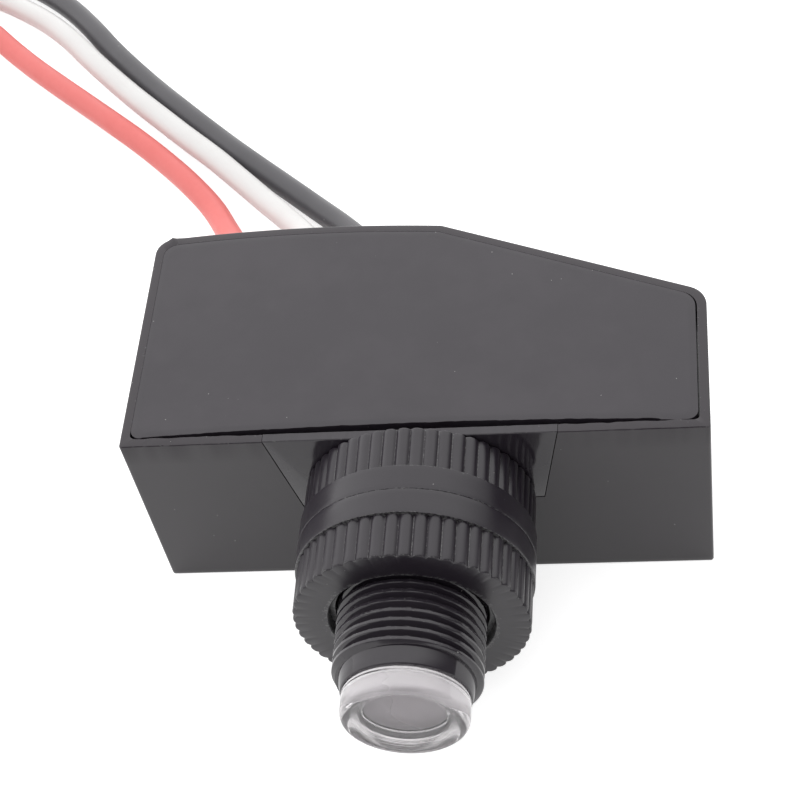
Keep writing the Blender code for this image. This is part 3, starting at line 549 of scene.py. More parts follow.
class Blotches(Effect):
    """Slow cloudy change of colour, as old plastic and lacquer have."""

    name = "blotches"
    inputs = (GroupSocket("Colour", "NodeSocketColor", (0.5, 0.5, 0.5, 1.0)),
              GroupSocket("Second Colour", "NodeSocketColor", (0.4, 0.4, 0.4, 1.0)),
              GroupSocket("Scale", value=150.0), GroupSocket("Amount", value=0.5))
    outputs = (GroupSocket("Colour", "NodeSocketColor"),)
    close_scale = 7.0
    broad_share = 0.7
    edges = (0.38, 0.62)

    def wire(self, graph: Graph, given: Sockets) -> Sockets:
        """Mix two colours by two sizes of cloud.

        Args:
            graph: The group's tree.
            given: The group's inputs by name.

        Returns:
            The group's outputs by name.
        """
        spot = graph.object_place()
        broad = graph.noise(spot, given["Scale"], detail=4.0, rough=0.6)
        close_scale = graph.math("MULTIPLY", given["Scale"], self.close_scale)
        close = graph.noise(spot, close_scale, detail=3.0, rough=0.6)
        cloud = graph.math("ADD", graph.math("MULTIPLY", broad, self.broad_share),
                           graph.math("MULTIPLY", close, 1 - self.broad_share))
        share = graph.math("MULTIPLY", graph.spread(cloud, *self.edges, 0.0, 1.0), given["Amount"])
        return {"Colour": graph.mix(share, given["Colour"], given["Second Colour"])}


class Dust(Effect):
    """Small pale specks that lie here and there on a surface."""

    name = "dust"
    inputs = (GroupSocket("Spacing", value=900.0), GroupSocket("Share", value=0.1),
              GroupSocket("Size", value=0.12))
    outputs = (GroupSocket("Mask"),)
    ragged_scale = 8.0
    core = 0.6

    def wire(self, graph: Graph, given: Sockets) -> Sockets:
        """Keep a share of Voronoi cells and put a ragged spot in each.

        Args:
            graph: The group's tree.
            given: The group's inputs by name.

        Returns:
            The group's outputs by name.
        """
        spot = graph.object_place()
        cells = graph.node("ShaderNodeTexVoronoi")
        graph.feed(cells.inputs["Vector"], spot)
        graph.feed(cells.inputs["Scale"], given["Spacing"])
        split = graph.node("ShaderNodeSeparateColor")
        graph.feed(split.inputs[0], cells.outputs["Color"])
        kept = graph.math("LESS_THAN", split.outputs[0], given["Share"])
        ragged = graph.noise(spot, graph.math("MULTIPLY", given["Spacing"], self.ragged_scale))
        size = graph.math("MULTIPLY", given["Size"], graph.math("ADD", split.outputs[1], ragged))
        core = graph.math("MULTIPLY", size, self.core)
        inside = graph.spread(cells.outputs["Distance"], size, core, 0.0, 1.0)
        return {"Mask": graph.math("MULTIPLY", kept, inside)}


class EdgeWearAndCrestHighlight(Effect):
    """Broken pale wear along crisp edges, read from the edge mark on the mesh; on the thread's crests the
    same pale is a painted highlight as well as wear.
    """

    name = "edge_wear_and_crest_highlight"
    inputs = (GroupSocket("Amount", value=0.5), GroupSocket("Break Up", value=4000.0))
    outputs = (GroupSocket("Mask"),)
    mark_weight = 0.55
    threshold = 1.35
    amount_weight = 0.4
    softness = 0.12
    least_mark = 0.02

    def wire(self, graph: Graph, given: Sockets) -> Sockets:
        """Break the edge mark up with noise.

        Args:
            graph: The group's tree.
            given: The group's inputs by name.

        Returns:
            The group's outputs by name.
        """
        mark = graph.node("ShaderNodeAttribute", attribute_name="edge").outputs["Fac"]
        broken = graph.noise(graph.object_place(), given["Break Up"], detail=3.0, rough=0.7)
        reach = graph.math("ADD", graph.math("MULTIPLY", mark, self.mark_weight), broken)
        easing = graph.math("MULTIPLY", given["Amount"], self.amount_weight)
        least = graph.math("SUBTRACT", self.threshold, easing)
        found = graph.spread(reach, least, graph.math("ADD", least, self.softness), 0.0, 1.0)
        # On the thread the mark is the crest height, so this mask is partly a painted highlight there.
        near = graph.math("GREATER_THAN", mark, self.least_mark)
        return {"Mask": graph.math("MULTIPLY", found, near)}


@dataclass
class Effects:
    """Every shared effect, each built once."""

    grain: MouldedGrain = field(default_factory=MouldedGrain)
    blotches: Blotches = field(default_factory=Blotches)
    dust: Dust = field(default_factory=Dust)
    wear: EdgeWearAndCrestHighlight = field(default_factory=EdgeWearAndCrestHighlight)


# Finishes


def blank_material(name: str) -> tuple[bpy.types.Material, Graph, bpy.types.Node]:
    """Make a material.

    Args:
        name: The material's name.

    Returns:
        The material, its tree and its Principled shader.
    """
    made = bpy.data.materials.new(name)
    made.use_nodes = True
    return made, Graph(made.node_tree), made.node_tree.nodes["Principled BSDF"]


@dataclass(frozen=True)
class Finish:
    """A surface with clouds of two colours, an uneven polish and a fine grain.

    The polish range is how far the roughness goes down and up, and the polish ends are the values
    of the slow noise at which it gets there.
    """

    name: str
    colour: Colour
    second: Colour
    roughness: float
    polish_range: tuple[float, float] = (-0.08, 0.08)
    polish_ends: tuple[float, float] = (0.35, 0.65)
    clouding: float = 0.8
    cloud_scale: float = 400.0
    coarseness: float = 4000.0
    grain: float = 0.0
    grain_depth: float = 0.02
    metal: float = 0.0
    clearness: float = 0.0
    index: float = 1.5

    def make(self, effects: Effects) -> bpy.types.Material:
        """Build the material.

        Args:
            effects: The shared effects.

        Returns:
            The material.
        """
        made, graph, shader = blank_material(self.name)
        for socket, value in (("Metallic", self.metal), ("Transmission Weight", self.clearness),
                              ("IOR", self.index)):
            shader.inputs[socket].default_value = value
        coat = effects.blotches.use(graph, Colour=self.colour, Second_Colour=self.second,
                                    Scale=self.cloud_scale, Amount=self.clouding)
        surface = effects.grain.use(graph, Coarseness=self.coarseness)
        least, most = (self.roughness + change for change in self.polish_range)
        coat["Roughness"] = graph.spread(surface["Polish"], *self.polish_ends, least, most)
        coat["Height"] = surface["Height"]
        self.add(graph, effects, coat)
        graph.feed(shader.inputs["Base Color"], coat["Colour"])
        graph.feed(shader.inputs["Roughness"], coat["Roughness"])
        if self.grain:
            bump = graph.node("ShaderNodeBump")
            bump.inputs["Strength"].default_value = self.grain
            bump.inputs["Distance"].default_value = self.grain_depth * MM
            graph.feed(bump.inputs["Height"], coat["Height"])
            graph.feed(shader.inputs["Normal"], bump.outputs["Normal"])
        return made

    def add(self, graph: Graph, effects: Effects, coat: Sockets) -> None:
        """Lay what the finish has besides; a plain one has nothing.

        Args:
            graph: The material's tree.
            effects: The shared effects.
            coat: The sockets of colour, roughness and height, changed in place.
        """


@dataclass(frozen=True)
class MouldedPlastic(Finish):
    """Moulded thermoplastic with dust and worn edges, whose pale also paints a highlight where the edge mark
    follows thread crests.
    """

    clouding: float = 0.5
    cloud_scale: float = 160.0
    coarseness: float = 3200.0
    grain: float = 0.25
    grain_depth: float = 0.012
    dust_share: float = 0.18
    dust_spacing: float = 1100.0
    dust_size: float = 0.045
    dust_colour: Colour = (0.42, 0.41, 0.40)
    dust_roughness: float = 0.8
    dust_height: float = 1.5
    wear: float = 0.4
    # Pale colour of worn edges, also used as a painted highlight on thread crests.
    wear_colour: Colour = (0.20, 0.20, 0.205)

    def add(self, graph: Graph, effects: Effects, coat: Sockets) -> None:
        """Wear the edges pale, which on thread crests is also a painted highlight, and strew dull, raised
        dust over all.

        Args:
            graph: The material's tree.
            effects: The shared effects.
            coat: The sockets of colour, roughness and height, changed in place.
        """
        worn = effects.wear.use(graph, Amount=self.wear)["Mask"]
        specks = effects.dust.use(graph, Spacing=self.dust_spacing, Share=self.dust_share,
                                  Size=self.dust_size)["Mask"]
        # Pale where the edge mark is: wear, and on the thread's crests a painted highlight too.
        pale = graph.mix(worn, coat["Colour"], self.wear_colour)
        coat["Colour"] = graph.mix(specks, pale, self.dust_colour)
        dull = graph.math("MULTIPLY", specks, self.dust_roughness)
        raised = graph.math("MULTIPLY", specks, self.dust_height)
        coat["Roughness"] = graph.math("MAXIMUM", coat["Roughness"], dull)
        coat["Height"] = graph.math("ADD", coat["Height"], raised)


@dataclass(frozen=True)
class ClearPlastic(Finish):
    """Clear moulded acrylic, or the same left matt and partly milky."""

    clouding: float = 0.6
    cloud_scale: float = 500.0
    coarseness: float = 900.0
    grain: float = 0.12
    clearness: float = 1.0
    index: float = 1.49


@dataclass(frozen=True)
class Insulation(Finish):
    """Extruded lead insulation: half gloss, with faint blotches and a little dust."""

    roughness: float = 0.36
    polish_range: tuple[float, float] = (-0.08, 0.1)
    clouding: float = 0.7
    cloud_scale: float = 220.0
    coarseness: float = 1500.0
    grain: float = 0.2
    dust_colour: Colour = (0.35, 0.34, 0.33)
    dust_strength: float = 0.5

    def add(self, graph: Graph, effects: Effects, coat: Sockets) -> None:
        """Strew faint dust over the colour.

        Args:
            graph: The material's tree.
            effects: The shared effects.
            coat: The sockets of colour, roughness and height, changed in place.
        """
        specks = effects.dust.use(graph, Spacing=700.0, Share=0.04, Size=0.1)["Mask"]
        faint = graph.math("MULTIPLY", specks, self.dust_strength)
        coat["Colour"] = graph.mix(faint, coat["Colour"], self.dust_colour)


@dataclass(frozen=True)
class TinnedCopper(Finish):
    """Tinned stranded wire, bright with dull patches."""

    colour: Colour = (0.80, 0.79, 0.76)
    second: Colour = (0.60, 0.57, 0.52)
    roughness: float = 0.22
    polish_range: tuple[float, float] = (0.0, 0.2)
    cloud_scale: float = 900.0
    coarseness: float = 6000.0
    metal: float = 1.0


@dataclass(frozen=True)
class SealedPiece(Finish):
    """Case, coat or laminate of a piece sealed in the box."""

    polish_range: tuple[float, float] = (-0.06, 0.1)
    polish_ends: tuple[float, float] = (0.3, 0.7)
    grain: float = 0.3


@dataclass(frozen=True)
class CellFace(Finish):
    """The light cell: a pale coated disc with a track folded back and forth across it."""

    polish_range: tuple[float, float] = (0.0, 0.15)
    polish_ends: tuple[float, float] = (0.3, 0.7)
    cloud_scale: float = 300.0
    coarseness: float = 2500.0
    track: Colour = (0.28, 0.20, 0.20)
    track_strength: float = 0.35
    band_edges: tuple[float, float] = (0.25, 0.4)
    waver: float = 0.3
    pitch: float = 1.1
    bands_per_pitch: float = 1 / 3.2

    def add(self, graph: Graph, effects: Effects, coat: Sockets) -> None:
        """Draw the folded track as soft bands.

        Args:
            graph: The material's tree.
            effects: The shared effects.
            coat: The sockets of colour, roughness and height, changed in place.
        """
        wave = graph.node("ShaderNodeTexWave", wave_type="BANDS", bands_direction="X")
        graph.feed(wave.inputs["Vector"], graph.object_place())
        wave.inputs["Scale"].default_value = self.bands_per_pitch / (self.pitch * MM * math.pi * 2)
        wave.inputs["Distortion"].default_value = self.waver
        line = graph.spread(wave.outputs["Fac"], *self.band_edges, self.track_strength, 0.0)
        coat["Colour"] = graph.mix(line, coat["Colour"], self.track)


# The box


@dataclass
class Insets:
    """How far an outline lies inside the box's outer plan, side by side, in mm."""

    left: float
    front: float
    right: float
    back: float

    @classmethod
    def even(cls, size: float) -> "Insets":
        """The same inset on every side."""
        return cls(size, size, size, size)


@dataclass
class BoxPlan:
    """The box's plan, with a sloping corner and a bowed back, and the sizes its pieces share."""

    width: float = 51.0
    depth: float = 24.7
    height: float = 19.85
    wall: float = 1.9
    rim: float = 0.85
    ledge: float = 17.75
    axis_height: float = 11.4
    front_y: float = -1.175
    slope_start: float = 26.95
    slope_drop: float = 9.5
    back_bow: float = 0.55
    back_left_radius: float = 1.8
    back_right_radius: float = 2.2
    bend_radius: float = 0.9
    front_count: int = 220
    side_count: int = 26
    slope_count: int = 30
    back_count: int = 30
    corner_count: int = 7
    bend_count: int = 3

    @property
    def back_y(self) -> float:
        """Where the back wall would stand without its bow."""
        return self.front_y + self.depth

    def nose_ring(self, reach: float, radius: float, sides: int) -> Ring:
        """A round ring about the nose's axis."""
        return [(a, self.front_y - reach, self.axis_height + b) for a, b in round_points(radius, sides)]

    def outline(self, inset: Insets, corner: float = 0.25, front: Wave = still) -> Plan:
        """One closed outline, anticlockwise from above, from the back end of the left side.

        Args:
            inset: How far it lies inside the outer plan.
            corner: The radius of the two front corners in mm.
            front: How far the front edge moves back, by its place along X.

        Returns:
            The outline's points; every outline of one plan has the same number.
        """
        left, right = -self.width / 2 + inset.left, self.width / 2 - inset.right
        low, high = self.front_y + inset.front, self.back_y - inset.back
        run = self.width - self.slope_start
        normal = Vector((self.slope_drop, run)).normalized() * -inset.back
        bend = (-self.width / 2 + self.slope_start + normal.x, self.back_y + normal.y)
        slope = (run, -self.slope_drop)
        right_top = crossing(bend, slope, (right, low), (0.0, 1.0))
        slope_top = crossing(bend, slope, (left, high), (1.0, 0.0))
        right_radius = self.back_right_radius - inset.back / 2
        left_radius = self.back_left_radius - inset.back / 2
        steps = self.corner_count
        front_left = fillet((left, high), (left, low), (right, low), corner, steps)
        front_right = fillet((left, low), (right, low), right_top, corner, steps)
        back_right = fillet((right, low), right_top, slope_top, right_radius, steps)
        bend_arc = fillet(right_top, slope_top, (left, high), self.bend_radius, self.bend_count)
        back_left = fillet(slope_top, (left, high), (left, low), left_radius, steps)
        points = list(front_left)
        points += [(x, y + front(x)) for x, y in between(front_left[-1], front_right[0], self.front_count)]
        points += front_right + between(front_right[-1], back_right[0], self.side_count)
        points += back_right + between(back_right[-1], bend_arc[0], self.slope_count) + bend_arc
        for number, (x, y) in enumerate(between(bend_arc[-1], back_left[0], self.back_count)):
            share = (number + 1) / self.back_count
            points.append((x, y + self.back_bow * 4 * share * (1 - share)))
        return points + back_left + between(back_left[-1], front_left[0], self.side_count)


@dataclass
class InsertOutline:
    """The nose insert's outline in X and Z: a keyed wedge above a round end."""

    plan: BoxPlan
    top_half_width: float = 12.72
    taper: float = 0.205
    left_side: float = 10.3
    right_side: float = 9.15
    radius: float = 8.3
    arc_steps: int = 40
    top_steps: int = 110

    def points(self, grow: float, top: float | None = None, wave: Wave = still) -> Plan:
        """The outline, grown outward by an amount.

        Args:
            grow: The growth in mm.
            top: The height of its top edge, where it isn't the box's own.
            wave: How far the top edge moves up, by its place along X.

        Returns:
            Points as (x, z).
        """
        whole, axis = self.plan.height, self.plan.axis_height
        high = whole if top is None else top
        half_top = self.top_half_width + grow + self.taper * (high - whole)
        radius = self.radius + grow
        right_low, left_low = whole - self.right_side - grow, whole - self.left_side - grow
        right_half = half_top - self.taper * (high - right_low)
        left_half = half_top - self.taper * (high - left_low)
        start = math.asin((right_low - axis) / radius)
        end = -math.pi - math.asin((left_low - axis) / radius)
        upper = between((-half_top, high), (half_top, high), self.top_steps)
        outline = [(-left_half, left_low), (-half_top, high)]
        outline += [(x, z + wave(x)) for x, z in upper]
        outline += [(half_top, high), (right_half, right_low)]
        for k in range(self.arc_steps + 1):
            a = start + (end - start) * k / self.arc_steps
            outline.append((radius * math.cos(a), axis + radius * math.sin(a)))
        return outline


@dataclass
class Housing:
    """The open-topped box with its ledge for the cover plate.

    The wall's even rings start at wall_from, and wall_short is what they leave of the height. The
    saddle is the block under the leads: its ends along X, then along Y.
    """

    plan: BoxPlan
    insert: InsertOutline
    draft: float = 0.25
    base_round: float = 0.22
    top_round: float = 0.16
    inner_corner: float = 0.5
    floor: float = 1.8
    lip_round: float = 0.02
    lip_drop: float = 0.015
    lip_depth: float = 0.6
    seam: float = 0.045
    slot_past_wall: float = 0.3
    lead_hole: float = 1.46
    lead_sides: int = 40
    lead_height: float = 7.4
    flare: float = 0.4
    flare_from: float = 0.45
    flare_to: float = 0.25
    lead_xs: tuple[float, float, float] = (-19.1, -12.6, -6.1)
    saddle: tuple[float, float, float, float] = (-22.7, -2.5, 19.025, 22.6)
    wall_rings: int = 18
    wall_from: float = 0.6
    wall_short: float = 1.3
    wavy_past_rim: float = 0.3
    flash_from_left: float = 1.5
    flash_width: float = 0.32
    flash_height: float = 0.28
    flash_lean: float = 0.4

    @staticmethod
    def sides(inset: float, front: float) -> Insets:
        """Insets with their own value for the front wall, which has no draft."""
        return Insets(inset, front, inset, inset)

    def wavy(self, ring: Ring, size: float, seed: float, flash: float = 0.0) -> Ring:
        """A ring whose front stretch is slightly uneven in height.

        Args:
            ring: The even ring.
            size: The largest unevenness in mm.
            seed: Where in the noise it is read.
            flash: The height in mm of the small flash on the back left corner.

        Returns:
            The uneven ring.
        """
        wave = ripple(size, pitch=1.1, seed=seed)
        near = self.plan.front_y + self.plan.rim + self.wavy_past_rim
        tip = Vector((-self.plan.width / 2 + self.flash_from_left, self.plan.back_y))
        made = []
        for x, y, z in ring:
            away = (Vector((x, y)) - tip).length / self.flash_width
            stand = flash * math.exp(-away * away)
            made.append((x, y + self.flash_lean * stand, z + (wave(x) if y < near else 0.0) + stand))
        return made

    def rings(self) -> list[Ring]:
        """The shell's rings, from its underside round the lip to its inner floor.

        Returns:
            The rings in order.
        """
        plan, corner = self.plan, self.inner_corner
        outline, height, rim = plan.outline, plan.height, plan.rim
        made = []
        for _, rise, run in quarter_turn(ARC_STEPS):
            inward = self.base_round * (1 - rise)
            made.append(level(outline(self.sides(self.draft + inward, inward)), self.base_round * (1 - run)))
        for k in range(self.wall_rings - 1):
            z = self.wall_from + (height - self.wall_short) * k / self.wall_rings
            made.append(level(outline(self.sides(self.draft * (1 - z / height), 0.0)), z))
        worn = ripple(size=0.07, pitch=0.9, seed=3.1)
        for share, rise, run in quarter_turn(ARC_STEPS):
            inward = self.top_round * (1 - run)
            ring = level(outline(self.sides(inward, inward), front=scaled(worn, share)),
                         height - self.top_round * (1 - rise))
            made.append(self.wavy(ring, size=0.035 * share, seed=7.7, flash=self.flash_height * share))
        lip = ripple(size=0.07, pitch=1.4, seed=11.3)
        for inset, drop in ((rim - self.lip_round, 0.0), (rim, self.lip_drop), (rim, self.lip_depth),
                            (rim, height - plan.ledge)):
            ring = level(outline(Insets.even(inset), corner, front=lip), height - drop)
            made.append(self.wavy(ring, size=0.03, seed=9.9) if drop < self.lip_depth / 2 else ring)
        for inset, z in ((plan.wall, plan.ledge), (plan.wall + self.draft, self.floor)):
            made.append(level(outline(Insets.even(inset), corner), z))
        return made

    def lead_holes(self) -> list[bpy.types.Mesh]:
        """The three holes that the leads leave by.

        Returns:
            Their cutters.
        """
        mouth, radius, height = self.plan.back_y + self.plan.back_bow, self.lead_hole, self.lead_height
        steps = ((self.saddle[2] - OVERSHOOT, radius), (mouth - self.flare_from, radius),
                 (mouth + self.flare_to, radius + self.flare))
        circles = [(y, round_points(size, self.lead_sides)) for y, size in steps]
        return [loft("lead_hole", [[(x + a, y, height + b) for a, b in circle] for y, circle in circles])
                for x in self.lead_xs]

    def build(self, finish: bpy.types.Material) -> None:
        """Build and dress the shell.

        Args:
            finish: Its plastic.
        """
        plan = self.plan
        shell = put("shell_work", loft("housing_shell", self.rings()))
        slot = self.insert.points(self.seam, plan.height + OVERSHOOT)
        near, far = plan.front_y - OVERSHOOT, plan.front_y + plan.wall + self.slot_past_wall
        carve(shell, [loft("slot", [[(x, y, z) for x, z in slot] for y in (near, far)])])
        x0, x1, y0, y1 = self.saddle
        block = [(x0, y0), (x1, y0), (x1, y1), (x0, y1)]
        saddle = loft("saddle", [level(block, self.floor / 2), level(block, self.lead_height)])
        carve(shell, [saddle], "UNION")
        carve(shell, self.lead_holes())
        mesh = release(shell)
        mesh.name = "housing_shell"
        mark_edges(mesh)
        place("housing_shell", mesh, finish, Body.BOX, ["housing"])


@dataclass
class CoverPlate:
    """The inset plate that closes the box, with a hollow front edge, on two posts."""

    plan: BoxPlan
    thickness: float = 1.8
    foot: float = 0.1
    band: float = 0.7
    sink: float = 0.01
    edge_round: float = 0.02
    seam_left: float = 0.01
    seam_right: float = 0.14
    seam_back: float = 0.01
    gap_ends: float = 0.05
    gap_middle: float = 0.66
    step_x: float = 21.4
    step_size: float = 0.14
    corner: float = 0.95
    post_radius: float = 1.0
    post_bottom: float = 5.2
    post_sides: int = 20
    post_overlap: float = 0.8
    posts: tuple[tuple[float, float], ...] = ((-22.05, 14.0), (20.95, 9.0))

    def front_edge(self, x: float) -> float:
        """How far the front edge lies behind its two ends.

        Args:
            x: The place along the edge in mm.

        Returns:
            The distance in mm.
        """
        share = min(1.0, max(0.0, x / self.plan.width + 0.5))
        step = self.step_size if x > self.step_x else 0.0
        return max(0.0, self.gap_middle * 4 * share * (1 - share) - step)

    def outline(self, inward: float, rough: float) -> Plan:
        """The plate's outline, with a slightly uneven front edge.

        Args:
            inward: How far it is drawn in, in mm.
            rough: How uneven the front edge is, in mm.

        Returns:
            The outline's points.
        """
        uneven = ripple(size=rough, pitch=0.8, seed=21.0)
        gaps = (self.seam_left, self.gap_ends, self.seam_right, self.seam_back)
        inset = Insets(*(self.plan.rim + gap + inward for gap in gaps))
        return self.plan.outline(inset, self.corner, front=lambda x: self.front_edge(x) + uneven(x))

    def build(self, finish: bpy.types.Material) -> None:
        """Build and dress the plate.

        Args:
            finish: Its plastic.
        """
        top, low = self.plan.height - self.sink, self.plan.height - self.thickness
        sections = [(self.foot, 0.0, low), (0.0, 0.02, low + self.foot), (0.0, 0.04, top - self.band)]
        sections += [(self.edge_round * (1 - run), 0.05, top - self.edge_round * (1 - rise))
                     for _, rise, run in quarter_turn(ARC_STEPS)]
        sections.append((self.band, 0.0, top))
        rings = [level(self.outline(inward, rough), z) for inward, rough, z in sections]
        plate = put("plate_work", loft("cover_panel", rings))
        posts = [loft("post", [[(x + a, y + b, z) for a, b in round_points(self.post_radius, self.post_sides)]
                               for z in (self.post_bottom, low + self.post_overlap)]) for x, y in self.posts]
        carve(plate, posts, "UNION")
        mesh = release(plate)
        mark_edges(mesh)
        place("cover_panel", mesh, finish, Body.BOX, ["cover_plate"])


# The nose


@dataclass
class Nose:
    """The keyed insert plate and the threaded barrel on it, with a true helical thread."""

    plan: BoxPlan
    insert: InsertOutline
    plate_past_wall: float = 0.6
    root_reach: float = -0.9
    hole_radius: float = 5.0
    hole_from: float = -5.0
    thread_radius: float = 6.35
    root_radius: float = 5.82
    pitch: float = 25.4 / 28
    thread_phase: float = 0.65
    crest_share: float = 0.32
    crest_rough: float = 0.008
    # Thread height above which the crest takes the pale mark: a painted highlight along the crests, partly
    # wear.
    crest_highlight_from: float = 0.8
    thread_reach: float = 18.97
    run_out: float = 0.12
    neck_reach: float = 19.7
    neck_radius: float = 5.64
    collar_root: float = 5.77
    collar_tip: float = 5.485
    collar_reach: float = 20.5
    bore_radius: float = 4.0
    bore_edge: float = 0.08
    bore_depth: float = 3.0
    columns: int = 120
    hidden_rings: int = 12
    open_rings: int = 24
    open_from: float = 11.8

    def thread_height(self, reach: float, angle: float) -> float:
        """How high the thread stands over its root: a flat crest over straight flanks.

        Args:
            reach: The distance in mm out of the front wall.
            angle: The place round the axis in radians.

        Returns:
            The height, from 0 at the root to 1 on the crest.
        """
        phase = ((reach - self.thread_reach) / self.pitch + self.thread_phase + angle / (2 * math.pi)) % 1.0
        away = abs(phase - 0.5) * 2
        return 1.0 - max(0.0, (away - self.crest_share) / (1.0 - self.crest_share))

    def barrel_ring(self, reach: float) -> tuple[Ring, list[float]]:
        """One ring of the threaded stretch.

        Args:
            reach: Its distance in mm out of the front wall.

        Returns:
            Its points and their edge marks, which rise on the crests and paint a pale highlight there as well
            as wear.
        """
        ring, marks = [], []
        cap = self.thread_radius - max(0.0, reach - (self.thread_reach - self.run_out))
        for k in range(self.columns):
            a = 2 * math.pi * k / self.columns
            stand = self.thread_height(reach, a)
            radius = self.root_radius + (self.thread_radius - self.root_radius) * stand
            rough = self.crest_rough * rough_at(a, 9, reach * 2.3)
            radius = min(radius, max(cap, self.collar_root)) + rough
            # The crest's height becomes the edge mark: a painted highlight on the crests, partly wear.
            marks.append(max(0.0, stand - self.crest_highlight_from) / (1.0 - self.crest_highlight_from))
            ring.append((radius * math.cos(a), self.plan.front_y - reach,
                         self.plan.axis_height + radius * math.sin(a)))
        return ring, marks

    def build_barrel(self, finish: bpy.types.Material) -> None:
        """Build the barrel, from its root in the plate round the tip into the bore.

        Args:
            finish: Its plastic.
        """
        rings, marks = [], []
        reaches = [self.root_reach]
        while reaches[-1] < self.thread_reach:
            fine = self.open_rings if reaches[-1] > self.open_from else self.hidden_rings
            reaches.append(min(self.thread_reach, reaches[-1] + self.pitch / fine))
        for reach in reaches:
            ring, mark = self.barrel_ring(reach)
            rings.append(ring)
            marks += mark
        tip, collar, bore = self.collar_reach, self.collar_tip, self.bore_radius
        for reach, radius in ((self.thread_reach + 0.03, self.collar_root),
                              (self.neck_reach, self.neck_radius), (tip - 0.12, collar + 0.03),
                              (tip - 0.03, collar - 0.02), (tip, collar - 0.1),
                              (tip, bore + self.bore_edge), (tip - self.bore_edge, bore),
                              (tip - self.bore_depth, bore), (self.root_reach, bore)):
            rings.append(self.plan.nose_ring(reach, radius, self.columns))
            marks += [0.0] * self.columns
        mesh = loft("nose_thread", rings, joined=True)
        # These crest marks turn the nose plastic's pale wear colour into a painted highlight along the
        # thread's crests, partly wear.
        write_edge(mesh, marks)
        place("nose_thread", mesh, finish, Body.BOX, ["nose_barrel"], sharp=50.0)

    def build_plate(self, finish: bpy.types.Material) -> None:
        """Build the insert plate, flush in the front wall.

        Args:
            finish: Its plastic.
        """
        plan, wide = self.plan, self.plan.width
        front, back = plan.front_y, plan.front_y + plan.wall + self.plate_past_wall
        edge = ripple(size=0.03, pitch=1.1, seed=7.7)
        rings = []
        for depth, grow, drop in ((0.0, -0.1, 0.16), (0.03, -0.03, 0.06), (0.1, 0.0, 0.0), (0.6, 0.0, 0.0),
                                  (back - front, 0.0, 0.0)):
            outline = self.insert.points(grow, plan.height - drop, edge)
            rings.append([(x, front + depth, z) for x, z in outline])
        plate = put("insert_work", loft("nose_insert", rings))
        near, far = front + plan.rim, back + OVERSHOOT
        block = [(-wide, near), (wide, near), (wide, far), (-wide, far)]
        rebate = loft("rebate", [level(block, plan.ledge), level(block, plan.height + OVERSHOOT)])
        hole = loft("hole", [plan.nose_ring(reach, self.hole_radius, self.columns)
                             for reach in (self.hole_from, OVERSHOOT)])
        carve(plate, [rebate, hole])
        mesh = release(plate)
        mark_edges(mesh)
        place("nose_insert", mesh, finish, Body.BOX, ["nose_barrel"])


@dataclass
class Lens:
    """The clear cap: a round rim that dishes in to a flat window, and a short plug with a matt end."""

    plan: BoxPlan
    seat: float = 20.62
    seat_round: float = 0.14
    plug: float = 0.6
    plug_radius: float = 3.85
    plug_round: float = 0.12
    outer: float = 5.4
    reach: float = 22.9
    groove_reach: float = 20.96
    groove_width: float = 0.16
    groove_depth: float = 0.2
    crown: float = 0.65
    window: float = 3.4
    window_depth: float = 0.62
    turned_pitch: float = 0.22
    turned_depth: float = 0.024
    crown_steps: int = 10
    dish_steps: int = 48
    sides: int = 160
    least_radius: float = 0.001

    def back(self) -> Plan:
        """The profile of the plug, the seat and the fine groove round the outside.

        Returns:
            Pairs of reach and radius.
        """
        seat, plug, outer = self.seat, self.plug_radius, self.outer
        end, r, half = seat - self.plug, self.seat_round, self.groove_width / 2
        return [(end, 0.0), (end, 1.5), (end, plug - 0.15), (end + self.plug_round, plug),
                (seat - 0.03, plug), (seat, plug + 0.06), (seat, outer - r),
                (seat + 0.3 * r, outer - 0.3 * r), (seat + r, outer),
                (self.groove_reach - half, outer), (self.groove_reach, outer - self.groove_depth),
                (self.groove_reach + half, outer)]

    def profile(self) -> Plan:
        """The whole turned profile, from the plug's middle round the rim to the window's middle.

        Returns:
            Pairs of reach and radius.
        """
        crest, floor = self.outer - self.crown, self.reach - self.window_depth
        made = self.back()
        made += [(self.reach - self.crown * (1 - rise), crest + self.crown * run)
                 for _, rise, run in quarter_turn(self.crown_steps)]
        for k in range(1, self.dish_steps + 1):
            share = k / self.dish_steps
            radius = crest - (crest - self.window) * share
            turned = math.sin(2 * math.pi * radius / self.turned_pitch) * math.sin(math.pi * share)
            dished = self.window_depth * (1 - math.cos(math.pi * share)) / 2
            made.append((self.reach - dished - self.turned_depth * abs(turned), radius))
        return made + [(floor, self.window * 0.6), (floor, 0.0)]

    def build(self, clear: bpy.types.Material, matt: bpy.types.Material) -> None:
        """Turn the profile and dress it.

        Args:
            clear: The lens's own finish.
            matt: The finish of the plug's end.
        """
        mesh = loft("lens_cap", [self.plan.nose_ring(reach, max(radius, self.least_radius), self.sides)
                                 for reach, radius in self.profile()])
        mark_edges(mesh, reach=0.1)
        place("lens_cap", mesh, clear, Body.BOX, ["lens"], sharp=40.0)
        mesh.materials.append(matt)
        end, close = (self.plan.front_y - (self.seat - self.plug)) * MM, 0.01 * MM
        for face in mesh.polygons:
            if abs(face.center.y - end) < close:
                face.material_index = 1


# The finger nuts


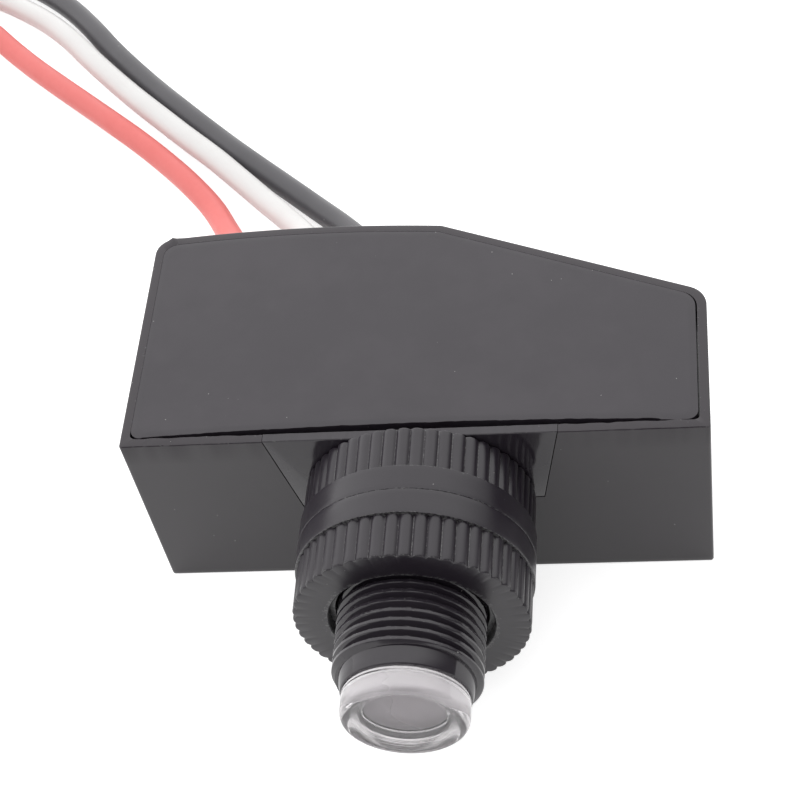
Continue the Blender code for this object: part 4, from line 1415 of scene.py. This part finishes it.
@dataclass
class FingerNut:
    """A knurled band with a smooth flange, a counterbore and a bore.

    The knurl reach is how far out of the front wall the knurled end lies, and the turn is in
    degrees. The tooth is one ridge from groove bottom to groove bottom: pairs of a share of the
    pitch and a share of the groove's depth left standing.
    """

    name: str
    node: str
    body: Body
    facing: Facing
    knurl_reach: float
    plan: BoxPlan
    seed: float
    turn: float
    flange_radius: float = 10.3
    knurl_radius: float = 10.125
    knurl_depth: float = 0.25
    teeth: int = 52
    tooth: tuple[tuple[float, float], ...] = (
        (0.0, 0.0), (0.03, 0.06), (0.08, 0.25), (0.14, 0.5), (0.22, 0.74), (0.33, 0.92), (0.5, 1.0),
        (0.67, 0.92), (0.78, 0.74), (0.86, 0.5), (0.92, 0.25), (0.97, 0.06))
    width_drift: float = 0.05
    depth_drift: float = 0.25
    top_lean: float = 0.03
    top_slope: float = 0.012
    face_middle: float = 8.6
    flange_middle: float = 8.4
    knurl_rough: float = 0.02
    flange_rough: float = 0.022
    knurl_length: float = 4.1
    flange_length: float = 2.385
    bore: float = 6.5
    counterbore: float = 7.05
    counterbore_depth: float = 1.0

    def column(self, k: int) -> tuple[float, float]:
        """One column of the knurled band.

        Args:
            k: Its number round the band.

        Returns:
            Its angle in radians and its radius in mm.
        """
        number, step = divmod(k, len(self.tooth))
        share, stand = self.tooth[step]
        drift = noise.noise(Vector((number * 1.7, self.seed, 0.3)))
        lean = noise.noise(Vector((number * 1.3, self.seed, 7.1)))
        inner = 1.0 - abs(2 * share - 1)
        middle = 0.5 + (share - 0.5) * (1.0 + self.width_drift * drift * inner) + self.top_lean * lean * inner
        a = 2 * math.pi * (number + middle) / self.teeth + math.radians(self.turn)
        radius = self.knurl_radius - self.knurl_depth * (1.0 + self.depth_drift * drift) * (1.0 - stand)
        return a, radius + self.top_slope * lean * (2 * share - 1) * stand

    def ring(self, along: float, plain: float | None = None, trim: float = 0.0, rough: float = 0.0) -> Ring:
        """One ring of the nut.

        Args:
            along: The distance in mm from the knurled end towards the flange.
            plain: The ring's radius in mm, where it isn't knurled.
            trim: How far a knurled ring is drawn in, in mm.
            rough: How uneven the ring lies along the axis, in mm.

        Returns:
            The ring's points.
        """
        made = []
        for k in range(self.teeth * len(self.tooth)):
            a, knurled = self.column(k)
            radius = knurled - trim if plain is None else plain
            reach = self.knurl_reach + self.facing.value * (along + rough * rough_at(a, 14, self.seed))
            made.append((radius * math.cos(a), self.plan.front_y - reach,
                         self.plan.axis_height + radius * math.sin(a)))
        return made

    def build(self, finish: bpy.types.Material) -> None:
        """Build and dress the nut.

        Args:
            finish: Its plastic.
        """
        band, wide, end = self.knurl_length, self.flange_radius, self.knurl_length + self.flange_length
        mouth, bore, deep = self.counterbore, self.bore, self.counterbore_depth
        rough = self.knurl_rough
        rings = [self.ring(0.0, mouth + 0.1), self.ring(0.0, self.face_middle)]
        rings += [self.ring(along, trim=trim, rough=rough)
                  for along, trim in ((0.0, 0.17), (0.015, 0.1), (0.05, 0.045), (0.1, 0.012), (0.17, 0.0))]
        rings += [self.ring(band * share) for share in (0.15, 0.35, 0.55, 0.75, 0.93)]
        rings += [self.ring(band + 0.005, rough=rough)]
        rings += [self.ring(band + along, wide - trim, rough=rough)
                  for along, trim in ((0.008, 0.035), (0.018, 0.014), (0.035, 0.004), (0.06, 0.0))]
        rings += [self.ring(band + 0.5, wide), self.ring(end - 0.5, wide)]
        rings += [self.ring(end - along, wide - trim, rough=self.flange_rough)
                  for along, trim in ((0.05, 0.0), (0.02, 0.008), (0.005, 0.02), (0.0, 0.045))]
        rings += [self.ring(along, radius) for along, radius in (
            (end, self.flange_middle), (end, bore + 0.25), (end - 0.2, bore), (deep + 0.1, bore),
            (deep, bore + 0.06), (deep, mouth - 0.05), (deep - 0.05, mouth), (0.1, mouth))]
        mesh = loft(self.name, rings, joined=True)
        mark_edges(mesh, reach=0.16, angle=24.0)
        place(self.name, mesh, finish, self.body, [self.node], sharp=38.0)


# The leads


@dataclass
class Lead:
    """One insulated lead with its stripped far end.

    The route holds its points in mm over the surface, a height left out being the rest height.
    The index is its place in the curl, counted from the inner lead, and the curl start is the
    angle in degrees at which it enters the curl.
    """

    colour: str
    index: int
    curl_start: float
    route: Sequence[Sequence[float]]
    start_y: float = 18.425
    exit_y: float = 24.0
    height: float = 7.4
    rest: float = 1.35
    outside: float = 152.0
    stripped: float = 10.0
    diameter: float = 2.6
    knot_step: float = 4.9
    bevel_steps: int = 6
    strand: float = 0.2
    strands: int = 6
    strand_sides: int = 8
    strand_step: float = 0.35
    tuck: float = 1.0
    splay: float = 0.12
    twist_pitch: float = 9.0
    curl_centre: tuple[float, float] = (-72.5, 68.0)
    curl_radius: float = 16.3
    curl_spacing: float = 3.3
    curl_step: float = 22.0
    curl_end: float = 400.0
    steps: int = 16

    def line(self) -> list[Vector]:
        """The fine centre line, a smooth curve through the route's points and then the curl.

        Returns:
            Its points in mm, from inside the box to past the far end.
        """
        centre_x, centre_y = self.curl_centre
        radius = self.curl_radius + self.index * self.curl_spacing
        path = [Vector((self.route[0][0], self.start_y, self.height))]
        path += [Vector((*p, self.rest)[:3]) for p in self.route]
        angle = self.curl_start
        while angle < self.curl_end:
            a = math.radians(angle)
            path.append(Vector((centre_x + radius * math.cos(a), centre_y + radius * math.sin(a), self.rest)))
            angle += self.curl_step
        path = [path[0] * 2 - path[1]] + path + [path[-1] * 2 - path[-2]]
        fine = []
        for a, b, c, d in zip(path, path[1:], path[2:], path[3:]):
            before, size, after = (b - a).length, (c - b).length, (d - c).length
            leave = ((b - a) / before - (c - a) / (before + size) + (c - b) / size) * size
            arrive = ((c - b) / size - (d - b) / (size + after) + (d - c) / after) * size
            for k in range(self.steps):
                t = k / self.steps
                spot = b * (2 * t ** 3 - 3 * t * t + 1) + leave * (t ** 3 - 2 * t * t + t)
                spot += c * (3 * t * t - 2 * t ** 3) + arrive * (t ** 3 - t * t)
                fine.append(Vector((spot.x, spot.y, max(spot.z, self.rest))))
        return fine + [path[-2]]

    @staticmethod
    def stretch(path: Sequence[Vector], start: float, end: float, step: float) -> list[Vector]:
        """Points an equal step apart between two lengths along a line.

        Args:
            path: The fine line.
            start: The length along it of the first point.
            end: The length along it of the last point.
            step: The wanted distance between points.

        Returns:
            The points, both ends among them.
        """
        lengths = [0.0]
        for a, b in zip(path, path[1:]):
            lengths.append(lengths[-1] + (b - a).length)
        count = max(2, round((end - start) / step) + 1)
        out, k = [], 0
        for n in range(count):
            goal = start + (end - start) * n / (count - 1)
            while k < len(lengths) - 2 and lengths[k + 1] < goal:
                k += 1
            share = (goal - lengths[k]) / max(lengths[k + 1] - lengths[k], 1e-9)
            out.append(path[k].lerp(path[k + 1], min(1.0, share)))
        return out

    def build_insulation(self, finish: bpy.types.Material, end: float) -> bpy.types.Object:
        """Build the insulated run as one open spline with a round bevel.

        Args:
            finish: Its insulation.
            end: Its length in mm.

        Returns:
            The piece.
        """
        points = self.stretch(self.line(), 0.0, end, self.knot_step)
        curve = bpy.data.curves.new(f"{self.colour}_insulation", "CURVE")
        curve.dimensions = "3D"
        curve.bevel_depth = self.diameter / 2 * MM
        curve.bevel_resolution = curve.resolution_u = self.bevel_steps
        curve.use_fill_caps = True
        spline = curve.splines.new("BEZIER")
        spline.bezier_points.add(len(points) - 1)
        for k, (knot, spot) in enumerate(zip(spline.bezier_points, points)):
            before, after = points[max(0, k - 1)], points[min(len(points) - 1, k + 1)]
            lead = (after - before) / (2 if 0 < k < len(points) - 1 else 1) / 3
            knot.co = spot * MM
            knot.handle_left_type = knot.handle_right_type = "FREE"
            for handle, way in (("handle_left", -1), ("handle_right", 1)):
                held = spot + lead * way
                setattr(knot, handle, Vector((held.x, held.y, max(held.z, self.rest))) * MM)
        return place(f"{self.colour}_insulation", curve, finish, Body.BOX,
                     [f"{self.colour}_lead"])

    def build_strands(self, finish: bpy.types.Material, end: float) -> bpy.types.Object:
        """Build the stripped end: strands twisted round one, from just inside the insulation.

        Args:
            finish: Its tinned wire.
            end: The length in mm of the insulated run.

        Returns:
            The piece.
        """
        path = self.stretch(self.line(), end - self.tuck, end + self.stripped, self.strand_step)
        points, faces = [], []
        for strand in range(self.strands + 1):
            faces += tube_faces(len(points), len(path), self.strand_sides)
            for k, spot in enumerate(path):
                ahead = (path[min(k + 1, len(path) - 1)] - path[max(k - 1, 0)]).normalized()
                side = ahead.cross(Vector((0, 0, 1))).normalized()
                up = side.cross(ahead)
                gone = k * self.strand_step
                opened = 1 + self.splay * (gone / (self.tuck + self.stripped)) ** 3
                a = 2 * math.pi * (strand / self.strands + gone / self.twist_pitch)
                away = 0.0 if strand == self.strands else 2 * self.strand * opened
                middle = spot + (side * math.cos(a) + up * math.sin(a)) * away
                points += [tuple((middle + side * x + up * y) * MM)
                           for x, y in round_points(self.strand, self.strand_sides)]
        mesh = closed_mesh(f"{self.colour}_strands", points, faces)
        return place(f"{self.colour}_strands", mesh, finish, Body.BOX,
                     [f"{self.colour}_lead_bare_end"])

    def build(self, insulation: bpy.types.Material, copper: bpy.types.Material) -> None:
        """Args:
            insulation: The finish of the insulated run.
            copper: The finish of the stripped end.
        """
        end = self.route[0][1] - self.start_y + self.outside - self.stripped
        run = self.build_insulation(insulation, end)
        strands = self.build_strands(copper, end)


RED_ROUTE = ((-19.1, 24.5, 7.4), (-19.2, 28.3, 6.9), (-20.3, 32.4, 5.4), (-22.3, 36.3, 3.8),
             (-24.2, 40.0, 2.5), (-25.7, 43.2, 1.7), (-27.6, 46.2), (-29.9, 49.1), (-32.6, 52.1),
             (-35.4, 55.0), (-38.8, 58.2), (-42.3, 61.4), (-46.4, 65.1), (-51.0, 69.3), (-55.9, 74.2))
WHITE_ROUTE = ((-12.6, 24.5, 7.4), (-12.6, 28.4, 7.0), (-13.0, 32.4, 5.7), (-14.5, 36.4, 4.2),
               (-17.0, 40.4, 3.0), (-20.2, 44.2, 2.4), (-23.6, 48.0, 2.2), (-27.1, 51.8, 2.15),
               (-30.5, 55.1, 2.15), (-33.6, 58.2, 2.15), (-37.0, 61.6, 2.15), (-40.5, 65.3, 2.15),
               (-44.9, 70.3, 2.1), (-49.5, 75.7, 1.9), (-53.4, 79.2, 1.6), (-58.5, 82.9))
BLACK_ROUTE = ((-6.1, 24.5, 7.4), (-6.3, 28.5, 6.9), (-7.6, 33.2, 5.0), (-9.9, 37.9, 3.0),
               (-12.8, 41.7, 1.9), (-16.0, 45.0, 1.45), (-20.2, 49.0), (-24.0, 52.5), (-27.2, 55.6),
               (-30.4, 58.8), (-33.6, 62.1), (-37.1, 65.8), (-40.6, 69.8), (-44.0, 74.0), (-47.2, 78.2))


# Studio


@dataclass
class Studio:
    """The white floor and the soft surroundings, bright behind, above and to the left."""

    floor_size: float = 3.0
    floor_tone: float = 0.80
    seen_fill: float = 0.75
    mirrored_fill: float = 0.57
    through_fill: float = 0.15
    sky_way: Point = (-0.45, 0.55, 0.70)
    sky_low: float = 0.25
    sky_high: float = 1.85
    sky_from: float = -0.2
    sky_to: float = 0.6
    diffuse_share: float = 0.68

    def build_floor(self) -> None:
        """Build a plain floor that shows white to the camera and keeps the object's shadow."""
        half = self.floor_size / 2
        mesh = bpy.data.meshes.new("floor")
        corners = level([(-half, -half), (half, -half), (half, half), (-half, half)], 0.0)
        mesh.from_pydata(corners, [], [(0, 1, 2, 3)])
        made, graph, shader = blank_material("floor_paper")
        tone = (self.floor_tone,) * 3
        shader.inputs["Base Color"].default_value = (*tone, 1.0)
        shader.inputs["Roughness"].default_value = 0.9
        shader.inputs["Specular IOR Level"].default_value = 0.0
        path = graph.node("ShaderNodeLightPath").outputs
        seen, mirrored, through = (graph.math("MULTIPLY", path[kind], fill) for kind, fill in (
            ("Is Camera Ray", self.seen_fill), ("Is Glossy Ray", self.mirrored_fill),
            ("Is Transmission Ray", self.through_fill)))
        shader.inputs["Emission Color"].default_value = (1.0, 1.0, 1.0, 1.0)
        graph.feed(shader.inputs["Emission Strength"],
                   graph.math("ADD", graph.math("ADD", seen, mirrored), through))
        mesh.materials.append(made)
        put("floor", mesh)

    def build_sky(self) -> None:
        """Build surroundings that brighten towards one side, and are white where they are seen."""
        world = bpy.data.worlds.new("white_studio")
        world.use_nodes = True
        bpy.context.scene.world = world
        graph = Graph(world.node_tree)
        ground = world.node_tree.nodes["Background"]
        ground.inputs["Color"].default_value = (1.0, 1.0, 1.0, 1.0)
        lean = graph.node("ShaderNodeVectorMath", operation="DOT_PRODUCT")
        graph.feed(lean.inputs[0], graph.node("ShaderNodeTexCoord").outputs["Generated"])
        lean.inputs[1].default_value = self.sky_way
        glow = graph.spread(lean.outputs["Value"], self.sky_from, self.sky_to, self.sky_low, self.sky_high)
        path = graph.node("ShaderNodeLightPath").outputs
        share = graph.spread(path["Is Diffuse Ray"], 0.0, 1.0, 1.0, self.diffuse_share)
        through = path["Is Transmission Ray"]
        lit = graph.math("MULTIPLY", glow, share)
        held = graph.math("MULTIPLY", lit, graph.math("SUBTRACT", 1.0, through))
        seen = graph.math("MAXIMUM", path["Is Camera Ray"], through)
        graph.feed(ground.inputs["Strength"], graph.math("MAXIMUM", held, seen))

    def build(self) -> None:
        """Build the floor and the sky."""
        self.build_floor()
        self.build_sky()


@dataclass
class PhotoCamera:
    """The camera at the photograph's place, as its axes in the frame."""

    location: Point = (26.326, -106.828, 156.024)
    across: Point = (0.98734, 0.06718, -0.14366)
    up: Point = (0.03738, 0.78172, 0.62250)
    back: Point = (0.15412, -0.62000, 0.76932)
    lens: float = 92.25
    sensor: float = 36.0

    def build(self) -> None:
        """Make the camera and look through it."""
        data = bpy.data.cameras.new("photo_camera")
        data.lens, data.sensor_width = self.lens, self.sensor
        data.clip_start, data.clip_end = 0.005, 10.0
        camera = put("photo_camera", data)
        turn = Matrix((self.across, self.up, self.back)).transposed().to_4x4()
        camera.matrix_world = Matrix.Translation(Vector(self.location) * MM) @ turn
        bpy.context.scene.camera = camera


# Pieces sealed in the box

SEALED_FINISHES: dict[str, Finish] = {
    "lead_clamp": SealedPiece("clamp_plastic", (0.10, 0.10, 0.10), (0.07, 0.07, 0.07), 0.5),
    "circuit_board": SealedPiece("board_laminate", (0.45, 0.33, 0.16), (0.36, 0.25, 0.11), 0.55,
                                 cloud_scale=120.0),
    "relay": SealedPiece("relay_case", (0.05, 0.16, 0.42), (0.04, 0.13, 0.36), 0.35),
    "film_capacitor": SealedPiece("film_case", (0.70, 0.54, 0.12), (0.62, 0.46, 0.09), 0.35),
    "smoothing_capacitor": SealedPiece("can_sleeve", (0.05, 0.08, 0.17), (0.04, 0.06, 0.13), 0.3),
    "surge_varistor": SealedPiece("varistor_coat", (0.05, 0.20, 0.45), (0.04, 0.15, 0.36), 0.4),
    "switching_transistor": SealedPiece("transistor_case", (0.05, 0.05, 0.05), (0.035, 0.035, 0.035), 0.45),
    "rectifier_diode": SealedPiece("diode_case", (0.04, 0.04, 0.04), (0.03, 0.03, 0.03), 0.4),
    "zener_diode": SealedPiece("zener_glass", (0.50, 0.20, 0.08), (0.42, 0.14, 0.05), 0.2),
    "resistor": SealedPiece("resistor_coat", (0.60, 0.47, 0.31), (0.52, 0.39, 0.25), 0.4),
    "photoresistor": CellFace("cell_face", (0.335, 0.305, 0.325), (0.28475, 0.25925, 0.27625), 0.45),
}


def dress_sealed(effects: Effects, copper: bpy.types.Material) -> None:
    """Give every carried-over CAD node its finish.

    Args:
        effects: The shared effects.
        copper: The tinned wire's material.
    """
    made = {kind: finish.make(effects) for kind, finish in SEALED_FINISHES.items()}
    for name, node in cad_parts.items():
        kind = next((key for key in made if name.startswith(key)), None)
        chosen = copper if name.endswith("_tail") else made.get(kind)
        if chosen:
            for entry in node.material_slots:
                entry.material = chosen
            LOG.info("%s: dressed as %s", name, chosen.name)


def main() -> None:
    """Build the studio, the leads, the box, the nose and the nuts."""
    logging.basicConfig(level=logging.INFO, format="%(message)s")
    bpy.context.scene.view_settings.view_transform = "Standard"
    PhotoCamera().build()
    effects = Effects()
    copper = TinnedCopper("tinned_wire").make(effects)
    red = Insulation("red_pvc", (0.88, 0.20, 0.185), (0.85, 0.18, 0.165)).make(effects)
    white = Insulation("white_pvc", (0.86, 0.85, 0.84), (0.84, 0.82, 0.81)).make(effects)
    black = Insulation("black_pvc", (0.079, 0.075, 0.083), (0.070, 0.067, 0.074)).make(effects)
    Lead("red", index=0, curl_start=50.0, route=RED_ROUTE).build(red, copper)
    Lead("white", index=1, curl_start=78.0, route=WHITE_ROUTE).build(white, copper)
    Lead("black", index=2, curl_start=78.0, route=BLACK_ROUTE).build(black, copper)

    plan = BoxPlan()
    insert = InsertOutline(plan)
    shell = MouldedPlastic("housing_black", (0.0150, 0.0102, 0.0155), (0.0190, 0.0134, 0.0197), 0.09,
                           polish_range=(-0.03, 0.03), clouding=0.8, cloud_scale=60.0, wear=0.5,
                           wear_colour=(0.09, 0.088, 0.09)).make(effects)
    plate = MouldedPlastic("cover_black", (0.0222, 0.0182, 0.0243), (0.0305, 0.0255, 0.0325), 0.33,
                           polish_range=(-0.04, 0.04), clouding=0.8, cloud_scale=60.0,
                           grain=0.6).make(effects)
    # Its pale wear colour is edge wear on the insert, and on the thread's crests a painted highlight as well
    # as wear.
    nose = MouldedPlastic("nose_black", (0.0225, 0.0185, 0.0245), (0.0275, 0.0225, 0.030), 0.085,
                          polish_range=(-0.03, 0.03), dust_share=0.3, wear=0.55,
                          wear_colour=(0.065, 0.064, 0.066)).make(effects)
    nut = MouldedPlastic("nut_black", (0.0145, 0.011, 0.0165), (0.0185, 0.0145, 0.0205), 0.33,
                         polish_range=(-0.05, 0.05), wear=0.95,
                         wear_colour=(0.10, 0.098, 0.10)).make(effects)
    clear = ClearPlastic("lens_clear", (0.79, 0.765, 0.78), (0.7663, 0.74205, 0.7566), 0.07,
                         polish_range=(-0.028, 0.042)).make(effects)
    matt = ClearPlastic("lens_matt", (0.44, 0.405, 0.435), (0.4268, 0.39285, 0.42195), 0.22,
                        polish_range=(-0.088, 0.132), clearness=0.5).make(effects)
    Housing(plan, insert).build(shell)
    CoverPlate(plan).build(plate)
    threaded = Nose(plan, insert)
    threaded.build_plate(nose)
    threaded.build_barrel(nose)
    Lens(plan).build(clear, matt)
    FingerNut("rear_finger_nut", "rear_nut", Body.REAR_NUT, Facing.OUTWARD, knurl_reach=0.2,
              plan=plan, seed=2.0, turn=-2.8).build(nut)
    FingerNut("front_finger_nut", "front_nut", Body.FRONT_NUT, Facing.INWARD, knurl_reach=13.2,
              plan=plan, seed=5.0, turn=-0.7).build(nut)
    dress_sealed(effects, copper)
    Studio().build()


if __name__ == "__main__":
    main()
